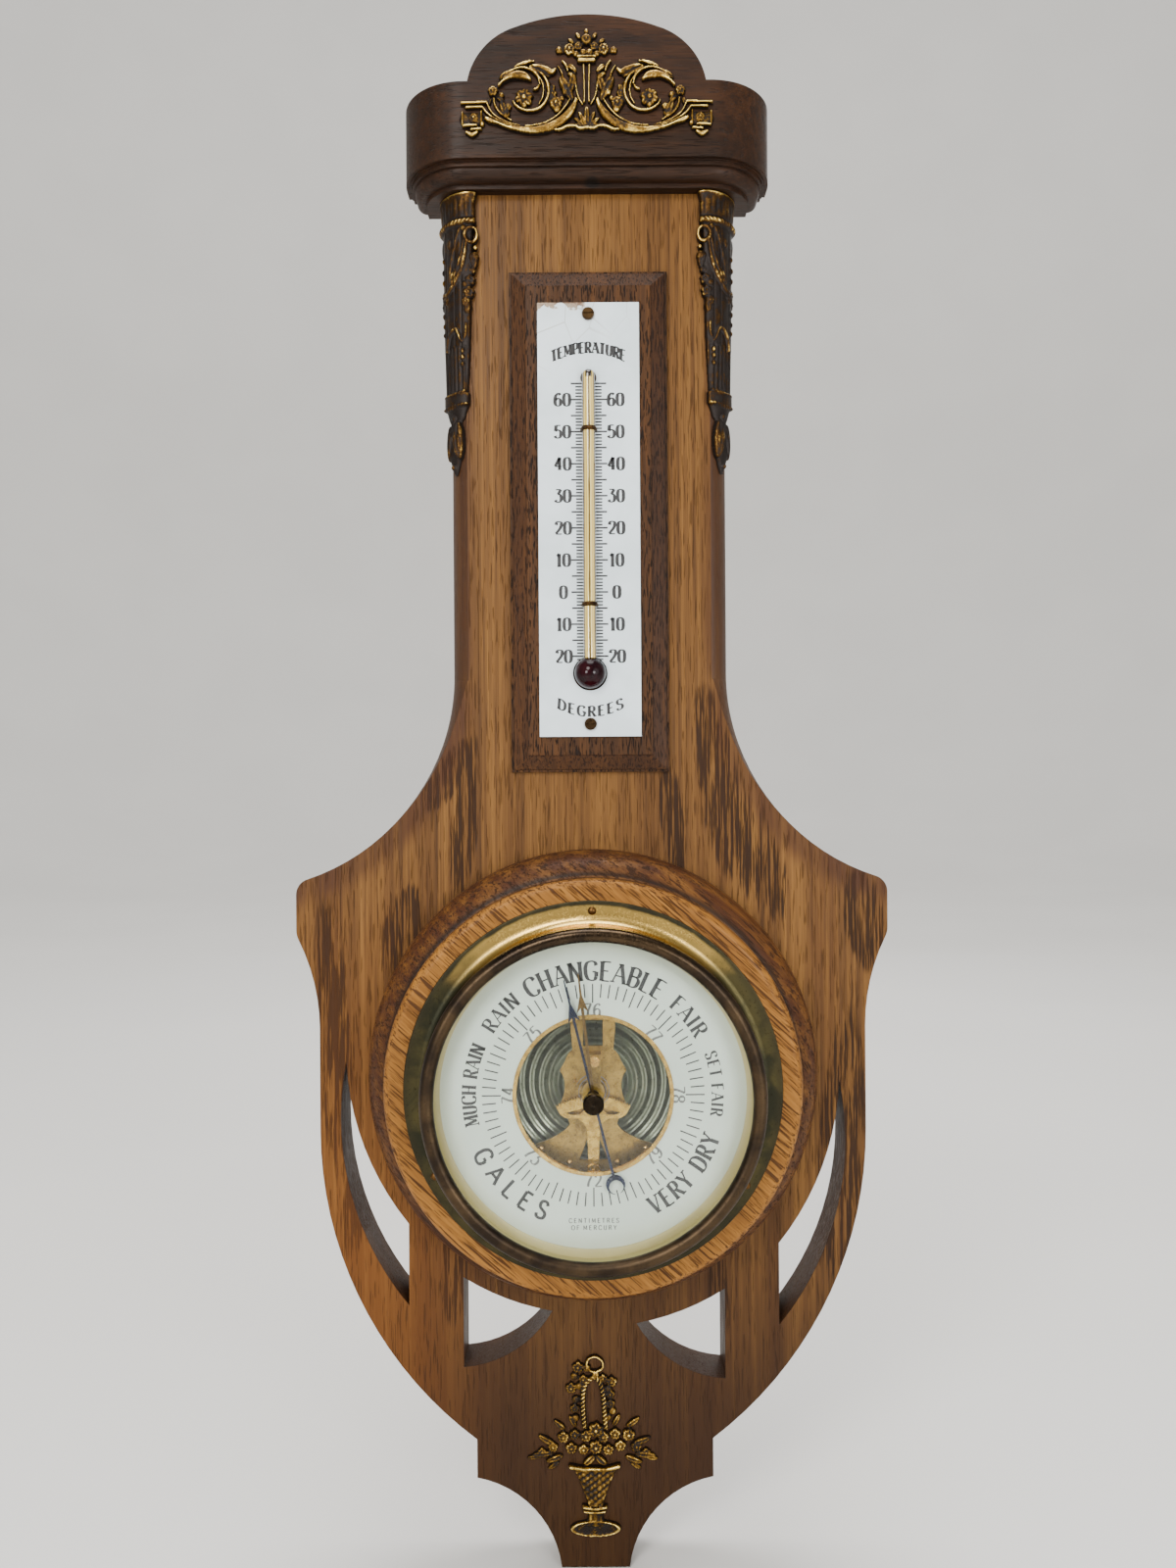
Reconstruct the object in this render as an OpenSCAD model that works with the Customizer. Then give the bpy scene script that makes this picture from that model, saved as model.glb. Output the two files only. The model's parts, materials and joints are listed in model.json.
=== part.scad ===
// Wall barometer with a thermometer on its neck.
// Millimetres. +Z is up, +X is to the viewer's right, and the front faces -Y.
// The origin is the middle of the hole in the hanger plate, in the plane of the wall.

/* [Case] */
// Thickness of the oak board
board_t = 18; // [14:0.5:24]
// Width of the neck
neck_w = 102; // [94:1:116]
// Radius of the rounded front edges of the neck
neck_round = 10; // [6:0.5:12]
// Width over the shoulder tips
shoulder_w = 219; // [212:1:226]
// Radius of the sweep from the neck to the shoulders
flare_r = 78.5; // [72:0.5:84]
// Radius of the lower body's outline
body_r = 143; // [136:1:150]
// Width across the notched foot
foot_w = 87.4; // [80:0.5:94]
// Radius of the hollow cuts under the foot
foot_cut_r = 38.5; // [34:0.5:42]
// Distance the right-hand side openings sit lower than the left-hand ones
fret_drop = 8; // [0:0.5:10]

/* [Heights under the hanger] */
// Bottom end of the board
bottom_z = -526; // [-540:1:-520]
// Start of the sweep at the lower end of the neck
flare_z = -196; // [-200:1:-192]
// Middle of the dial
dial_z = -341.8; // [-346:0.2:-338]

/* [Head] */
// Width of the head at the wall
head_w = 137; // [130:1:146]
// Depth of the head, from the wall to its front face
head_d = 30; // [28:0.5:36]
// Radius of the head's front corners
head_corner = 24; // [18:1:26]
// Top of the head's shoulders
head_shoulder_z = 17.4; // [15:0.2:20]
// Lower edge of the head's plain face
head_low_z = -10.2; // [-13:0.2:-9]
// Top of the arched crest
crest_z = 41.2; // [36:0.2:46]
// Width of the crest where it leaves the shoulders
crest_w = 87; // [80:1:92]
// Height of the moulding under the head
moulding_h = 7.5; // [6:0.5:9]

/* [Thermometer] */
// Width of the raised wooden panel
panel_w = 58.2; // [54:0.2:64]
// Height of the raised wooden panel
panel_h = 184.4; // [176:0.2:190]
// Thickness of the raised wooden panel
panel_t = 5; // [4:0.5:7]
// Top edge of the raised wooden panel
panel_top_z = -47.2; // [-50:0.2:-44]
// Width of the panel's sloping border
panel_bevel = 6.2; // [4:0.2:8]
// Width of the enamelled scale plate
plate_w = 37.2; // [34:0.2:40]
// Height of the enamelled scale plate
plate_h = 158.6; // [150:0.2:164]
// Thickness of the enamelled scale plate
plate_t = 1; // [0.8:0.1:1.5]
// Outer radius of the glass tube
tube_r = 2.3; // [1.9:0.05:2.6]
// Radius of the glass bulb
bulb_r = 5.75; // [5:0.05:6.2]
// Length of the tube above the bulb
tube_len = 104.5; // [98:0.5:108]

/* [Dial] */
// Radius of the turned wooden surround at the board
surround_r = 81.7; // [79:0.1:84]
// Height of the surround over the board
surround_h = 29; // [27:0.5:32]
// Radius of the surround's front ring
surround_front_r = 73.1; // [71:0.1:75]
// Radius of the bezel's flange
flange_r = 65.6; // [64:0.1:67]
// Outer radius of the movement case
case_r = 55; // [54:0.1:56]
// Depth of the movement case
case_depth = 38.7; // [37.5:0.1:40]
// Radius of the round window in the dial
window_r = 26.7; // [24:0.1:28]
// Radius of the dial's white face
face_r = 52.2; // [50:0.1:53]
// Thickness of the glass
glass_t = 2; // [1.5:0.1:2.4]
// Length of the pointer, from its pivot to its tip
pointer_len = 40.6; // [36:0.2:46]
// Length of the pointer's tail, to the middle of its crescent
pointer_tail = 30.7; // [26:0.2:34]
// Length of the set hand
set_hand_len = 42.2; // [38:0.2:46]
// Radius of the set knob
knob_r = 3.5; // [2.8:0.1:4.5]

/* [Movement] */
// Module of the pinion and the sector
gear_m = 0.3; // [0.29:0.01:0.31]
// Teeth of the pinion
pinion_teeth = 14; // [14:2:16]
// Teeth that a full circle of the sector would have
sector_teeth = 172; // [168:1:176]
// Teeth on the sector
sector_count = 29; // [25:2:31]
// Radius of the corrugated capsule
capsule_r = 31; // [29:0.5:32]
// Thickness of the bridge plate
bridge_t = 1.2; // [1:0.1:1.5]
// Radius of the pillars
pillar_r = 2; // [1.6:0.1:2.4]

/* [Hidden] */

$fn = 96;

// Clearances: flat seats, pieces that pass through wood, and shafts that turn
seat = 0.1;
wood_gap = 0.4;
running = 0.05;

// Case
board_top_z = 12;
tip_r = 6;
tip_low_r = 8;
waist_cut_r = 74.4;
waist_z = -326;
body_z = dial_z - 22.2;
flare_x = neck_w / 2 + flare_r;
tip_x = shoulder_w / 2 - tip_r;
tip_z = flare_z - sqrt(pow(flare_r + tip_r, 2) - pow(flare_x - tip_x, 2));
tip_low_x = shoulder_w / 2 - tip_low_r;
waist_w = shoulder_w - 17;
waist_x = waist_w / 2;
waist_cut_x = waist_x + waist_cut_r;
tip_low_z = waist_z + sqrt(pow(waist_cut_r + tip_low_r, 2) - pow(waist_cut_x - tip_low_x, 2));
body_x = body_r - waist_x;
notch_z = body_z - sqrt(pow(body_r, 2) - pow(foot_w / 2 + body_x, 2));
foot_cut_x = foot_w / 2 + 7.1;
foot_cut_z = bottom_z - 4.5;
edge_fade = 7;
case_hole_r = case_r + 1.6;
corner_r = neck_round * 1.08;

// Fret openings, placed from the dial's middle
crescent_outer = [14.9, -17.8, 108.3];
crescent_inner = [11.9, 8.2, 103.3];
crescent_edge = 68.5;
triangle_top_r = 90.6;
triangle_low = [51.4, -68.7, 41.3];
triangle_edge = 48.4;
triangle_drop = fret_drop * 0.6;
fret_scale = waist_w / 202;

// Hanger plate and its recess
hanger_size = [44, 15, 1.6];
hanger_hole_r = 3.2;
hanger_recess_r = 7;
hanger_recess_d = 9;
hanger_screw_x = 16;
screw_head_r = 2.6;

// Head
arch_r = 76.2;
arch_side_r = 25.2;
arch_side_x = crest_w / 2 - arch_side_r;
arch_z = crest_z - arch_r;
arch_side_z = arch_z + sqrt(pow(arch_r - arch_side_r + 0.03, 2) - pow(arch_side_x, 2));
moulding_z = head_low_z - moulding_h;
moulding_in = moulding_h;

// Thermometer
panel_face = board_t + panel_t;
plate_top_z = panel_top_z - (panel_h - plate_h) / 2;
plate_face = panel_face + plate_t;
tube_f = plate_face + tube_r + seat;
bulb_z = plate_top_z - plate_h + 23.1;
bulb_f = plate_face + 1.5;
bulb_hole_r = bulb_r + 0.5;
tube_top_z = bulb_z + bulb_r + tube_len;
tube_bore_r = 0.5;
degree = 1.172;
zero_z = bulb_z + 29.7;
reading = 21;
tie_wire_r = 0.35;
tie_r = tube_r + tie_wire_r + running;
tie_z = [zero_z - 4.8, zero_z + 58.8];
plate_screw_z = [plate_top_z - 4.3, plate_top_z - plate_h + 4.6];
plate_screw_r = 1.5;
tube_slot_r = 2.9;

// Dial: every f is a distance from the wall towards the viewer
surround_f = board_t + surround_h;
bore_r = case_r + 1.7;
skirt_r = case_r + 0.3;
skirt_t = 0.9;
case_back_f = surround_f + 5.7 - case_depth;
case_t = 1;
dial_t = 0.8;
dial_f = case_back_f + case_depth + dial_t;
case_lip = 4.5;
ring_r = case_r + 1;
wall_r = ring_r + 0.5;
wall_t = 0.8;
glass_f = dial_f + 7;
bead_r = 2.45;
bead_mid_r = wall_r + wall_t - 1.7;
bead_f = glass_f + bead_r - 0.3;
pin_circle_r = (flange_r + wall_r + wall_t) / 2 + 0.6;
pin_angles = [0, 122, 242];
rim_w = 0.8;

// Hands
arbor_r = 0.6;
hub_f = dial_f + 1.2;
hand_t = 0.5;
pointer_angle = 13.9;
set_hand_angle = 6.6;
spindle_r = 0.9;
set_hub_f = hub_f + 2.4;

// Movement, behind the dial
base_t = 1.6;
base_f = case_back_f + case_t + seat;
base_r = 42;
capsule_f = dial_f - 15.1;
capsule_h = 13;
capsule_low_f = capsule_f - capsule_h;
well_r = 2.5;
post_r = 2.2;
post_travel = 0.31;
post_f = capsule_f + 1.8;
lever_t = 0.8;
lever_f = post_f + seat;
lever_w = 14;
lever_leg = 3.2;
lever_strip = 2.4;
lever_pin_z = 34;
bridge_f = dial_f - 10;
bridge_face = bridge_f + bridge_t;
pillar_at = [[-5.4, 38.6], [5.4, 38.6], [-19, -34], [19, -34]];
rivet_at = [[8.4, -25.6], [18.2, -20.8]];
pinion_r = gear_m * pinion_teeth / 2;
sector_r = gear_m * sector_teeth / 2;
sector_z = -(pinion_r + sector_r);
sector_t = 1.2;
sector_f = bridge_face + 1.2;
pinion_h = 2.4;
pinion_f = sector_f - 0.6;
tooth_play = 0.03;
tail_x = 1.3;
tail_z = -4.5;
tail_pin_r = 0.4;
shaft_z = sector_z - 5.1;
shaft_f = lever_f + lever_t + 0.9;
shaft_r = 1;
shaft_pivot_r = 0.6;
shaft_half = 11;
ear_t = 1;
arm_reach = 8;
hairspring_f = pinion_f + pinion_h + 0.6;
hairspring_h = 0.5;
cock_f = hairspring_f + hairspring_h + 0.8;
cock_t = 1;
cock_screw_at = [0.4, 10.7];
stud_at = [-6.2, 2.8];
screw_slot = [0.6, 0.4];

// Column mounts
column_x = neck_w / 2 - neck_round;
column_f = board_t - neck_round;
column_in = corner_r + seat;
column_out = column_in + 3.6;
column_top_z = moulding_z - 0.3;
column_collar_h = 10;
column_shaft_h = 62;

// Draws in front view: x to the right, y up, and z towards the viewer from the wall
module front() {
  rotate([90, 0, 0]) children();
}

// The same, with its middle on the dial's axis
module dial_frame() {
  translate([0, 0, dial_z]) front() children();
}

module both_sides() {
  children();
  mirror([1, 0, 0]) children();
}

module disc(radius, low, high) {
  translate([0, 0, low]) cylinder(r = radius, h = high - low);
}

// A slotted countersunk or cheese-head screw along z
module screw(head_r, head_h, shank_r, shank_len) {
  difference() {
    union() {
      cylinder(r = head_r, h = head_h);
      translate([0, 0, -shank_len]) cylinder(r = shank_r, h = shank_len);
    }
    translate([-head_r - 1, -screw_slot[0] / 2, head_h - screw_slot[1]])
      cube([2 * head_r + 2, screw_slot[0], 1]);
  }
}

// Case board

module shoulder_outline() {
  touch_x = flare_x - (flare_x - tip_x) * flare_r / (flare_r + tip_r);
  difference() {
    translate([-touch_x, tip_z]) square([2 * touch_x, flare_z - tip_z + 0.5]);
    both_sides() translate([flare_x, flare_z]) circle(r = flare_r, $fn = 240);
  }
  both_sides() {
    translate([tip_x, tip_z]) circle(r = tip_r);
    translate([tip_low_x, tip_low_z]) circle(r = tip_low_r);
    translate([tip_low_x, tip_low_z]) square([tip_low_r, tip_z - tip_low_z]);
  }
}

module waist_outline() {
  share = waist_cut_r / (waist_cut_r + tip_low_r);
  touch_x = waist_cut_x - (waist_cut_x - tip_low_x) * share;
  touch_z = waist_z + (tip_low_z - waist_z) * share;
  translate([-tip_low_x, touch_z - 0.5])
    square([2 * tip_low_x, tip_z - touch_z + 1]);
  difference() {
    translate([-touch_x, waist_z]) square([2 * touch_x, touch_z - waist_z]);
    both_sides() translate([waist_cut_x, waist_z]) circle(r = waist_cut_r, $fn = 240);
  }
}

module body_outline() {
  translate([-waist_x, body_z]) square([2 * waist_x, waist_z - body_z + 0.5]);
  intersection() {
    translate([-body_x, body_z]) circle(r = body_r, $fn = 360);
    translate([body_x, body_z]) circle(r = body_r, $fn = 360);
    translate([-waist_x, notch_z]) square([2 * waist_x, body_z - notch_z + 0.5]);
  }
}

// The foot hangs under square notches, and two hollow cuts narrow it
module foot_outline() {
  difference() {
    translate([-foot_w / 2, bottom_z]) square([foot_w, notch_z - bottom_z + 0.5]);
    both_sides() translate([foot_cut_x, foot_cut_z]) circle(r = foot_cut_r, $fn = 180);
  }
}

module crescent() {
  difference() {
    intersection() {
      translate([crescent_outer[0], crescent_outer[1]]) circle(r = crescent_outer[2], $fn = 360);
      translate([-120, -120]) square([120 - crescent_edge, 140]);
    }
    translate([crescent_inner[0], crescent_inner[1]]) circle(r = crescent_inner[2], $fn = 360);
  }
}

module triangle() {
  difference() {
    intersection() {
      translate([-triangle_low[0], triangle_low[1]]) circle(r = triangle_low[2], $fn = 180);
      translate([-triangle_edge, -130]) square([triangle_edge, 130]);
    }
    circle(r = triangle_top_r, $fn = 240);
  }
}

module fret_openings() {
  translate([0, dial_z]) scale(fret_scale) {
    crescent();
    triangle();
    translate([0, -fret_drop]) mirror([1, 0]) crescent();
    translate([0, -triangle_drop]) mirror([1, 0]) triangle();
  }
}

module case_outline() {
  translate([-neck_w / 2, flare_z]) square([neck_w, board_top_z - flare_z]);
  shoulder_outline();
  waist_outline();
  body_outline();
  foot_outline();
}

// What a round-over removes from a square corner: it runs from the corner inwards
module round_over(over) {
  difference() {
    translate([-over, -neck_round]) square([neck_round + over, neck_round + over]);
    translate([neck_round, -neck_round]) circle(r = corner_r);
  }
}

module neck_edge_cut() {
  overlap = 1.4;
  translate([-neck_w / 2, -board_t, flare_z - overlap])
    linear_extrude(board_top_z - flare_z + 2 * overlap) mirror([0, 1]) round_over(2);
}

// The round-over follows the sweep and runs out of the wood towards the shoulder
module flare_edge_cut() {
  translate([-flare_x, -board_t, flare_z]) rotate([-edge_fade, 0, 0]) rotate([90, 0, 0])
    rotate([0, 0, -84]) rotate_extrude(angle = 84, $fn = 240)
      translate([flare_r, 0]) round_over(11);
}

module case_board() {
  color("#8a5a30") difference() {
    front() linear_extrude(board_t) difference() {
      case_outline();
      fret_openings();
    }
    both_sides() {
      neck_edge_cut();
      flare_edge_cut();
    }
    dial_frame() disc(case_hole_r, -1, board_t + 1);
    front() {
      translate([-hanger_size[0] / 2 - wood_gap, -hanger_size[1] / 2 - wood_gap, -1])
        cube([hanger_size[0] + 2 * wood_gap, hanger_size[1] + 2 * wood_gap, hanger_size[2] + 1]);
      disc(hanger_recess_r, -1, hanger_recess_d);
      both_sides() translate([hanger_screw_x, 0]) disc(1.3, -1, 13);
    }
  }
}

// Head

module head_plan(inset) {
  half = head_w / 2 - inset;
  depth = head_d - inset;
  corner = head_corner;
  translate([-half + corner, -depth]) square([2 * (half - corner), depth]);
  translate([-half, -depth + corner]) square([2 * half, depth - corner]);
  both_sides() translate([half - corner, -depth + corner]) intersection() {
    circle(r = corner);
    translate([0, -corner]) square([corner, corner]);
  }
}

module crest_outline() {
  join_x = arch_side_x * arch_r / (arch_r - arch_side_r) - 0.6;
  intersection() {
    translate([0, arch_z]) circle(r = arch_r, $fn = 240);
    translate([-join_x, head_low_z + 4]) square([2 * join_x, crest_z - head_low_z]);
  }
  translate([arch_side_x, arch_side_z]) circle(r = arch_side_r, $fn = 120);
  translate([-arch_side_x, arch_side_z]) circle(r = arch_side_r, $fn = 120);
}

module head_elevation() {
  translate([-head_w / 2 - 1, head_low_z])
    square([head_w + 2, head_shoulder_z - head_low_z]);
  intersection() {
    crest_outline();
    translate([-crest_w / 2, head_low_z]) square([crest_w, crest_z - head_low_z + 1]);
  }
}

// The board's top end passes up into the head
module board_notch() {
  half = neck_w / 2 + wood_gap;
  translate([-half, -board_t - seat, moulding_z - 1])
    cube([2 * half, board_t + seat + 1, board_top_z + wood_gap - moulding_z + 1]);
}

module head_block() {
  color("#5a3520") difference() {
    intersection() {
      translate([0, 0, head_low_z]) linear_extrude(crest_z - head_low_z + 1) head_plan(0);
      front() linear_extrude(head_d + 1) head_elevation();
    }
    board_notch();
  }
}

// Inset of the moulding's face from the head's face at each level under the head
module moulding_profile(reach) {
  step_in = 2.1;
  fillet_h = 1.4;
  lip_h = 1.6;
  ovolo = moulding_h - fillet_h - lip_h - 0.4;
  foot = reach - moulding_in;
  polygon([
    [0, 0], [reach - step_in + 0.8, 0], [reach - step_in + 0.8, -0.4],
    [reach - step_in, -0.4], [reach - step_in, -0.4 - fillet_h],
    [foot + ovolo, -0.4 - fillet_h],
    for (a = [0:10:90]) [foot + 0.2 + ovolo * cos(a), -0.6 - fillet_h - ovolo * sin(a) * 0.95],
    [foot, -moulding_h + lip_h], [foot, -moulding_h], [0, -moulding_h]
  ]);
}

module cornice_moulding() {
  half = head_w / 2;
  flat_x = half - head_corner;
  color("#5a3520") difference() {
    translate([0, 0, head_low_z - seat / 2]) {
      both_sides() {
        translate([flat_x, -head_d + head_corner, 0]) rotate([0, 0, -90])
          rotate_extrude(angle = 90) moulding_profile(head_corner);
        translate([flat_x, 0, 0]) rotate([90, 0, 0])
          linear_extrude(head_d - head_corner) moulding_profile(head_corner);
      }
      translate([-flat_x, -head_d + head_corner, 0]) mirror([0, 1, 0]) rotate([90, 0, 90])
        linear_extrude(2 * flat_x) moulding_profile(head_corner);
      translate([-flat_x, -head_d + head_corner, -moulding_h])
        cube([2 * flat_x, head_d - head_corner, moulding_h]);
    }
    board_notch();
  }
}

// Thermometer

// Cross-section of the panel: width over height, with its sloping border
module panel_section(width) {
  half = width / 2;
  edge_h = panel_t * 0.36;
  polygon([
    [-half, 0], [half, 0], [half, edge_h], [half - 0.9, edge_h], [half - 0.9, edge_h + 0.5],
    [half - panel_bevel, panel_t - 0.5], [half - panel_bevel, panel_t],
    [-half + panel_bevel, panel_t], [-half + panel_bevel, panel_t - 0.5],
    [-half + 0.9, edge_h + 0.5], [-half + 0.9, edge_h], [-half, edge_h]
  ]);
}

module thermometer_panel() {
  mid_z = panel_top_z - panel_h / 2;
  color("#6b4022") difference() {
    translate([0, -board_t, mid_z]) intersection() {
      translate([0, 0, -panel_h / 2 - 1]) linear_extrude(panel_h + 2)
        mirror([0, 1]) panel_section(panel_w);
      translate([-panel_w / 2 - 1, 0, 0]) rotate([90, 0, 90]) linear_extrude(panel_w + 2)
        rotate([0, 0, 90]) panel_section(panel_h);
    }
    front() {
      translate([0, bulb_z, board_t + 0.8]) cylinder(r = bulb_hole_r, h = panel_t);
      for (z = plate_screw_z) translate([0, z, board_t]) cylinder(r = 1, h = panel_t + 1);
    }
  }
}

module scale_plate() {
  color("#eef1ee") front() difference() {
    translate([-plate_w / 2, plate_top_z - plate_h, panel_face]) cube([plate_w, plate_h, plate_t]);
    translate([0, bulb_z]) disc(bulb_hole_r, 0, plate_face + 1);
    translate([0, tube_top_z - tube_r]) disc(tube_slot_r, 0, plate_face + 1);
    for (z = plate_screw_z) translate([0, z]) disc(plate_screw_r, 0, plate_face + 1);
    for (z = tie_z, side = [-1, 1]) translate([side * tie_r, z])
      disc(tie_wire_r + 0.15, 0, plate_face + 1);
  }
}

module scale_screws() {
  color("#3a2a18") front() for (z = plate_screw_z) translate([0, z, plate_face + seat])
    screw(2.2, 1, 0.9, plate_t + 3);
}

module thermometer_tube() {
  low_z = bulb_z + bulb_r - 0.5;
  color("#d8b45a", 0.6) difference() {
    union() {
      translate([0, -tube_f, low_z]) cylinder(r = tube_r, h = tube_top_z - tube_r - low_z);
      translate([0, -tube_f, tube_top_z - tube_r]) sphere(r = tube_r);
      translate([0, -tube_f, tube_top_z - tube_r]) rotate([-90, 0, 0])
        cylinder(r = tube_r * 0.7, h = tube_f - panel_face - 0.3);
    }
    translate([0, -bulb_f, bulb_z]) sphere(r = bulb_r + running);
    translate([0, -tube_f, low_z - 1]) cylinder(r = tube_bore_r, h = tube_len - 4);
  }
}

module thermometer_bulb() {
  color("#3a0d12") translate([0, -bulb_f, bulb_z]) sphere(r = bulb_r);
}

module spirit_column() {
  low_z = bulb_z + bulb_r + 0.1;
  high_z = zero_z + reading * degree;
  color("#5a1a1a") translate([0, -tube_f, low_z])
    cylinder(r = tube_bore_r - running, h = high_z - low_z);
}

module tube_ties() {
  color("#4a3a22") for (z = tie_z) translate([0, -tube_f, z]) {
    rotate([0, 0, 180]) rotate_extrude(angle = 180) translate([tie_r, 0]) circle(r = tie_wire_r);
    both_sides() translate([tie_r, 0, 0]) rotate([-90, 0, 0])
      cylinder(r = tie_wire_r, h = tube_f - panel_face - seat);
  }
}

// Dial surround and bezel

module dial_surround() {
  torus_r = 12;
  torus_f = board_t + 6;
  groove_f = surround_f - 8;
  groove_r = surround_front_r - 2.4;
  edge_r = 3;
  color("#7a4c28") dial_frame() rotate_extrude($fn = 180) difference() {
    union() {
      translate([0, board_t]) square([surround_r, torus_f - board_t]);
      intersection() {
        translate([surround_r - torus_r, torus_f]) circle(r = torus_r);
        translate([0, torus_f - 1]) square([surround_r, groove_f - torus_f - 2]);
      }
      translate([0, board_t]) square([groove_r, surround_h - 3]);
      translate([0, groove_f]) square([surround_front_r - edge_r, surround_f - groove_f]);
      translate([0, groove_f + 1.5])
        square([surround_front_r, surround_f - edge_r - groove_f - 1.5]);
      translate([surround_front_r - edge_r, surround_f - edge_r]) circle(r = edge_r);
      translate([surround_front_r - 1.5, groove_f + 1.5]) circle(r = 1.5);
    }
    translate([-1, 0]) square([bore_r + 1, surround_f + 1]);
  }
}

module bezel() {
  low_f = surround_f + seat;
  flange_t = 0.8;
  cove_r = 3.4;
  outer = wall_r + wall_t;
  color("#a07c3c") dial_frame() rotate_extrude($fn = 180) {
    translate([skirt_r, surround_f - 4]) square([skirt_t, 5.1]);
    translate([skirt_r, low_f]) square([flange_r - skirt_r - 0.4, flange_t]);
    translate([flange_r - 0.4, low_f + 0.4]) circle(r = 0.4);
    difference() {
      translate([wall_r, low_f]) square([wall_t + cove_r, flange_t + cove_r]);
      translate([outer + cove_r, low_f + flange_t + cove_r]) circle(r = cove_r);
    }
    translate([wall_r, low_f]) square([wall_t, bead_f - low_f]);
    difference() {
      translate([bead_mid_r, bead_f]) circle(r = bead_r);
      translate([bead_mid_r - 5, glass_f - 5]) square([wall_r - bead_mid_r + 5, 5 + seat]);
    }
  }
}

module on_pin_circle() {
  for (a = pin_angles) rotate([0, 0, -a]) translate([0, pin_circle_r]) children();
}

module bezel_pins() {
  head_f = surround_f + seat + 0.8;
  color("#6a5530") dial_frame() on_pin_circle() difference() {
    translate([0, 0, head_f - 1.2]) sphere(r = 1.9);
    translate([-3, -3, head_f - 6]) cube([6, 6, 6]);
  }
}

module glass() {
  color("#dfe8e8", 0.3) dial_frame() difference() {
    disc(ring_r, glass_f - glass_t, glass_f);
    disc(spindle_r + running, glass_f - glass_t - 1, glass_f + 1);
  }
}

module sight_ring() {
  color("#e6dfbd") dial_frame() rotate_extrude($fn = 180) {
    translate([face_r, dial_f + seat]) square([ring_r - face_r, 0.5]);
    translate([ring_r - 0.8, dial_f + seat]) square([0.8, glass_f - glass_t - dial_f - 2 * seat]);
  }
}

module dial() {
  color("#eef0ec") dial_frame() difference() {
    disc(case_r - 0.3, dial_f - dial_t, dial_f);
    disc(window_r, 0, dial_f + 1);
  }
}

module window_rim() {
  sleeve_r = window_r - running;
  color("#c8a050") dial_frame() rotate_extrude($fn = 180) {
    translate([sleeve_r - 0.5, dial_f - dial_t - 0.5]) square([0.5, dial_t + 0.5 + seat]);
    translate([sleeve_r - 0.5, dial_f + running]) square([rim_w + 0.5, 0.35]);
  }
}

// Movement case

module on_base_screws() {
  for (a = [30, 150, 270]) rotate([0, 0, a]) translate([base_r - 6, 0]) children();
}

module movement_case() {
  color("#9a8048") dial_frame() difference() {
    rotate_extrude($fn = 180) {
      translate([0, case_back_f]) square([case_r - 2, case_t]);
      translate([case_r - case_t, case_back_f + 2]) square([case_t, case_depth - 2]);
      intersection() {
        difference() {
          translate([case_r - 2, case_back_f + 2]) circle(r = 2);
          translate([case_r - 2, case_back_f + 2]) circle(r = 1);
        }
        translate([case_r - 2, case_back_f]) square([2, 2]);
      }
      translate([case_r - case_lip, case_back_f + case_depth - case_t]) square([case_lip, case_t]);
    }
    disc(2 + running, 0, base_f);
    on_base_screws() disc(1.3, 0, base_f);
  }
}

module base_plate() {
  color("#8c8c88") dial_frame() difference() {
    disc(base_r, base_f, base_f + base_t);
    disc(2 + running, 0, base_f + 5);
    on_base_screws() disc(1.3, 0, base_f + 5);
  }
}

module case_screws() {
  color("#a08848") dial_frame() on_base_screws()
    translate([0, 0, case_back_f - seat]) mirror([0, 0, 1]) screw(2.4, 1.2, 1.2, base_t + case_t);
}

module adjusting_screw() {
  color("#b09050") dial_frame()
    translate([0, 0, case_back_f - seat]) mirror([0, 0, 1])
      screw(4, 2, 2, capsule_low_f - 0.4 - case_back_f);
}

// Movement

// One corrugated half of the capsule: its surface falls from the middle to the rim in waves
module capsule_half(height) {
  flat_r = 5.5;
  waves = 7;
  rise = height * 0.3;
  pitch = (capsule_r - 1.5 - flat_r) / waves;
  steps = 6;
  polygon([
    [0, 0], [capsule_r, 0], [capsule_r, 0.8],
    [capsule_r - 1.5, 0.8],
    for (i = [waves * steps:-1:0])
      let(r = flat_r + i / steps * pitch, drop = (r - flat_r) / (capsule_r - flat_r))
        [r, height - rise * drop * 2 - 0.55 * (1 - cos(i * 360 / steps))],
    [flat_r, height], [0, height]
  ]);
}

module capsule() {
  mid_f = (capsule_f + capsule_low_f) / 2;
  color("#a8aaa6") dial_frame() difference() {
    union() {
      rotate_extrude($fn = 120) {
        translate([0, mid_f]) capsule_half(capsule_h / 2);
        translate([0, mid_f]) mirror([0, 1]) capsule_half(capsule_h / 2);
      }
      disc(6, base_f + base_t + seat, capsule_low_f + 1);
    }
    disc(well_r, capsule_f - 2.2, capsule_f + 1);
    disc(2 + 0.1, 0, capsule_low_f + 0.2);
  }
}

module capsule_post() {
  color("#c0b070") dial_frame() {
    disc(post_r, capsule_f - 1.6, capsule_f + 0.9);
    disc(post_r - 0.8, capsule_f, post_f);
  }
}

// Forked at its pivot, so that the capsule shows between its legs, and slim at its lower end
module lever_outline() {
  low = shaft_z + arm_reach - 2;
  join_z = 10;
  difference() {
    translate([-lever_w / 2, join_z - 5]) square([lever_w, lever_pin_z - join_z + 5]);
    translate([-lever_w / 2 + lever_leg, join_z])
      square([lever_w - 2 * lever_leg, lever_pin_z - join_z - 3]);
  }
  translate([-3, -6]) square([6, join_z + 2]);
  translate([-lever_strip / 2, low]) square([lever_strip, -low]);
}

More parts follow.
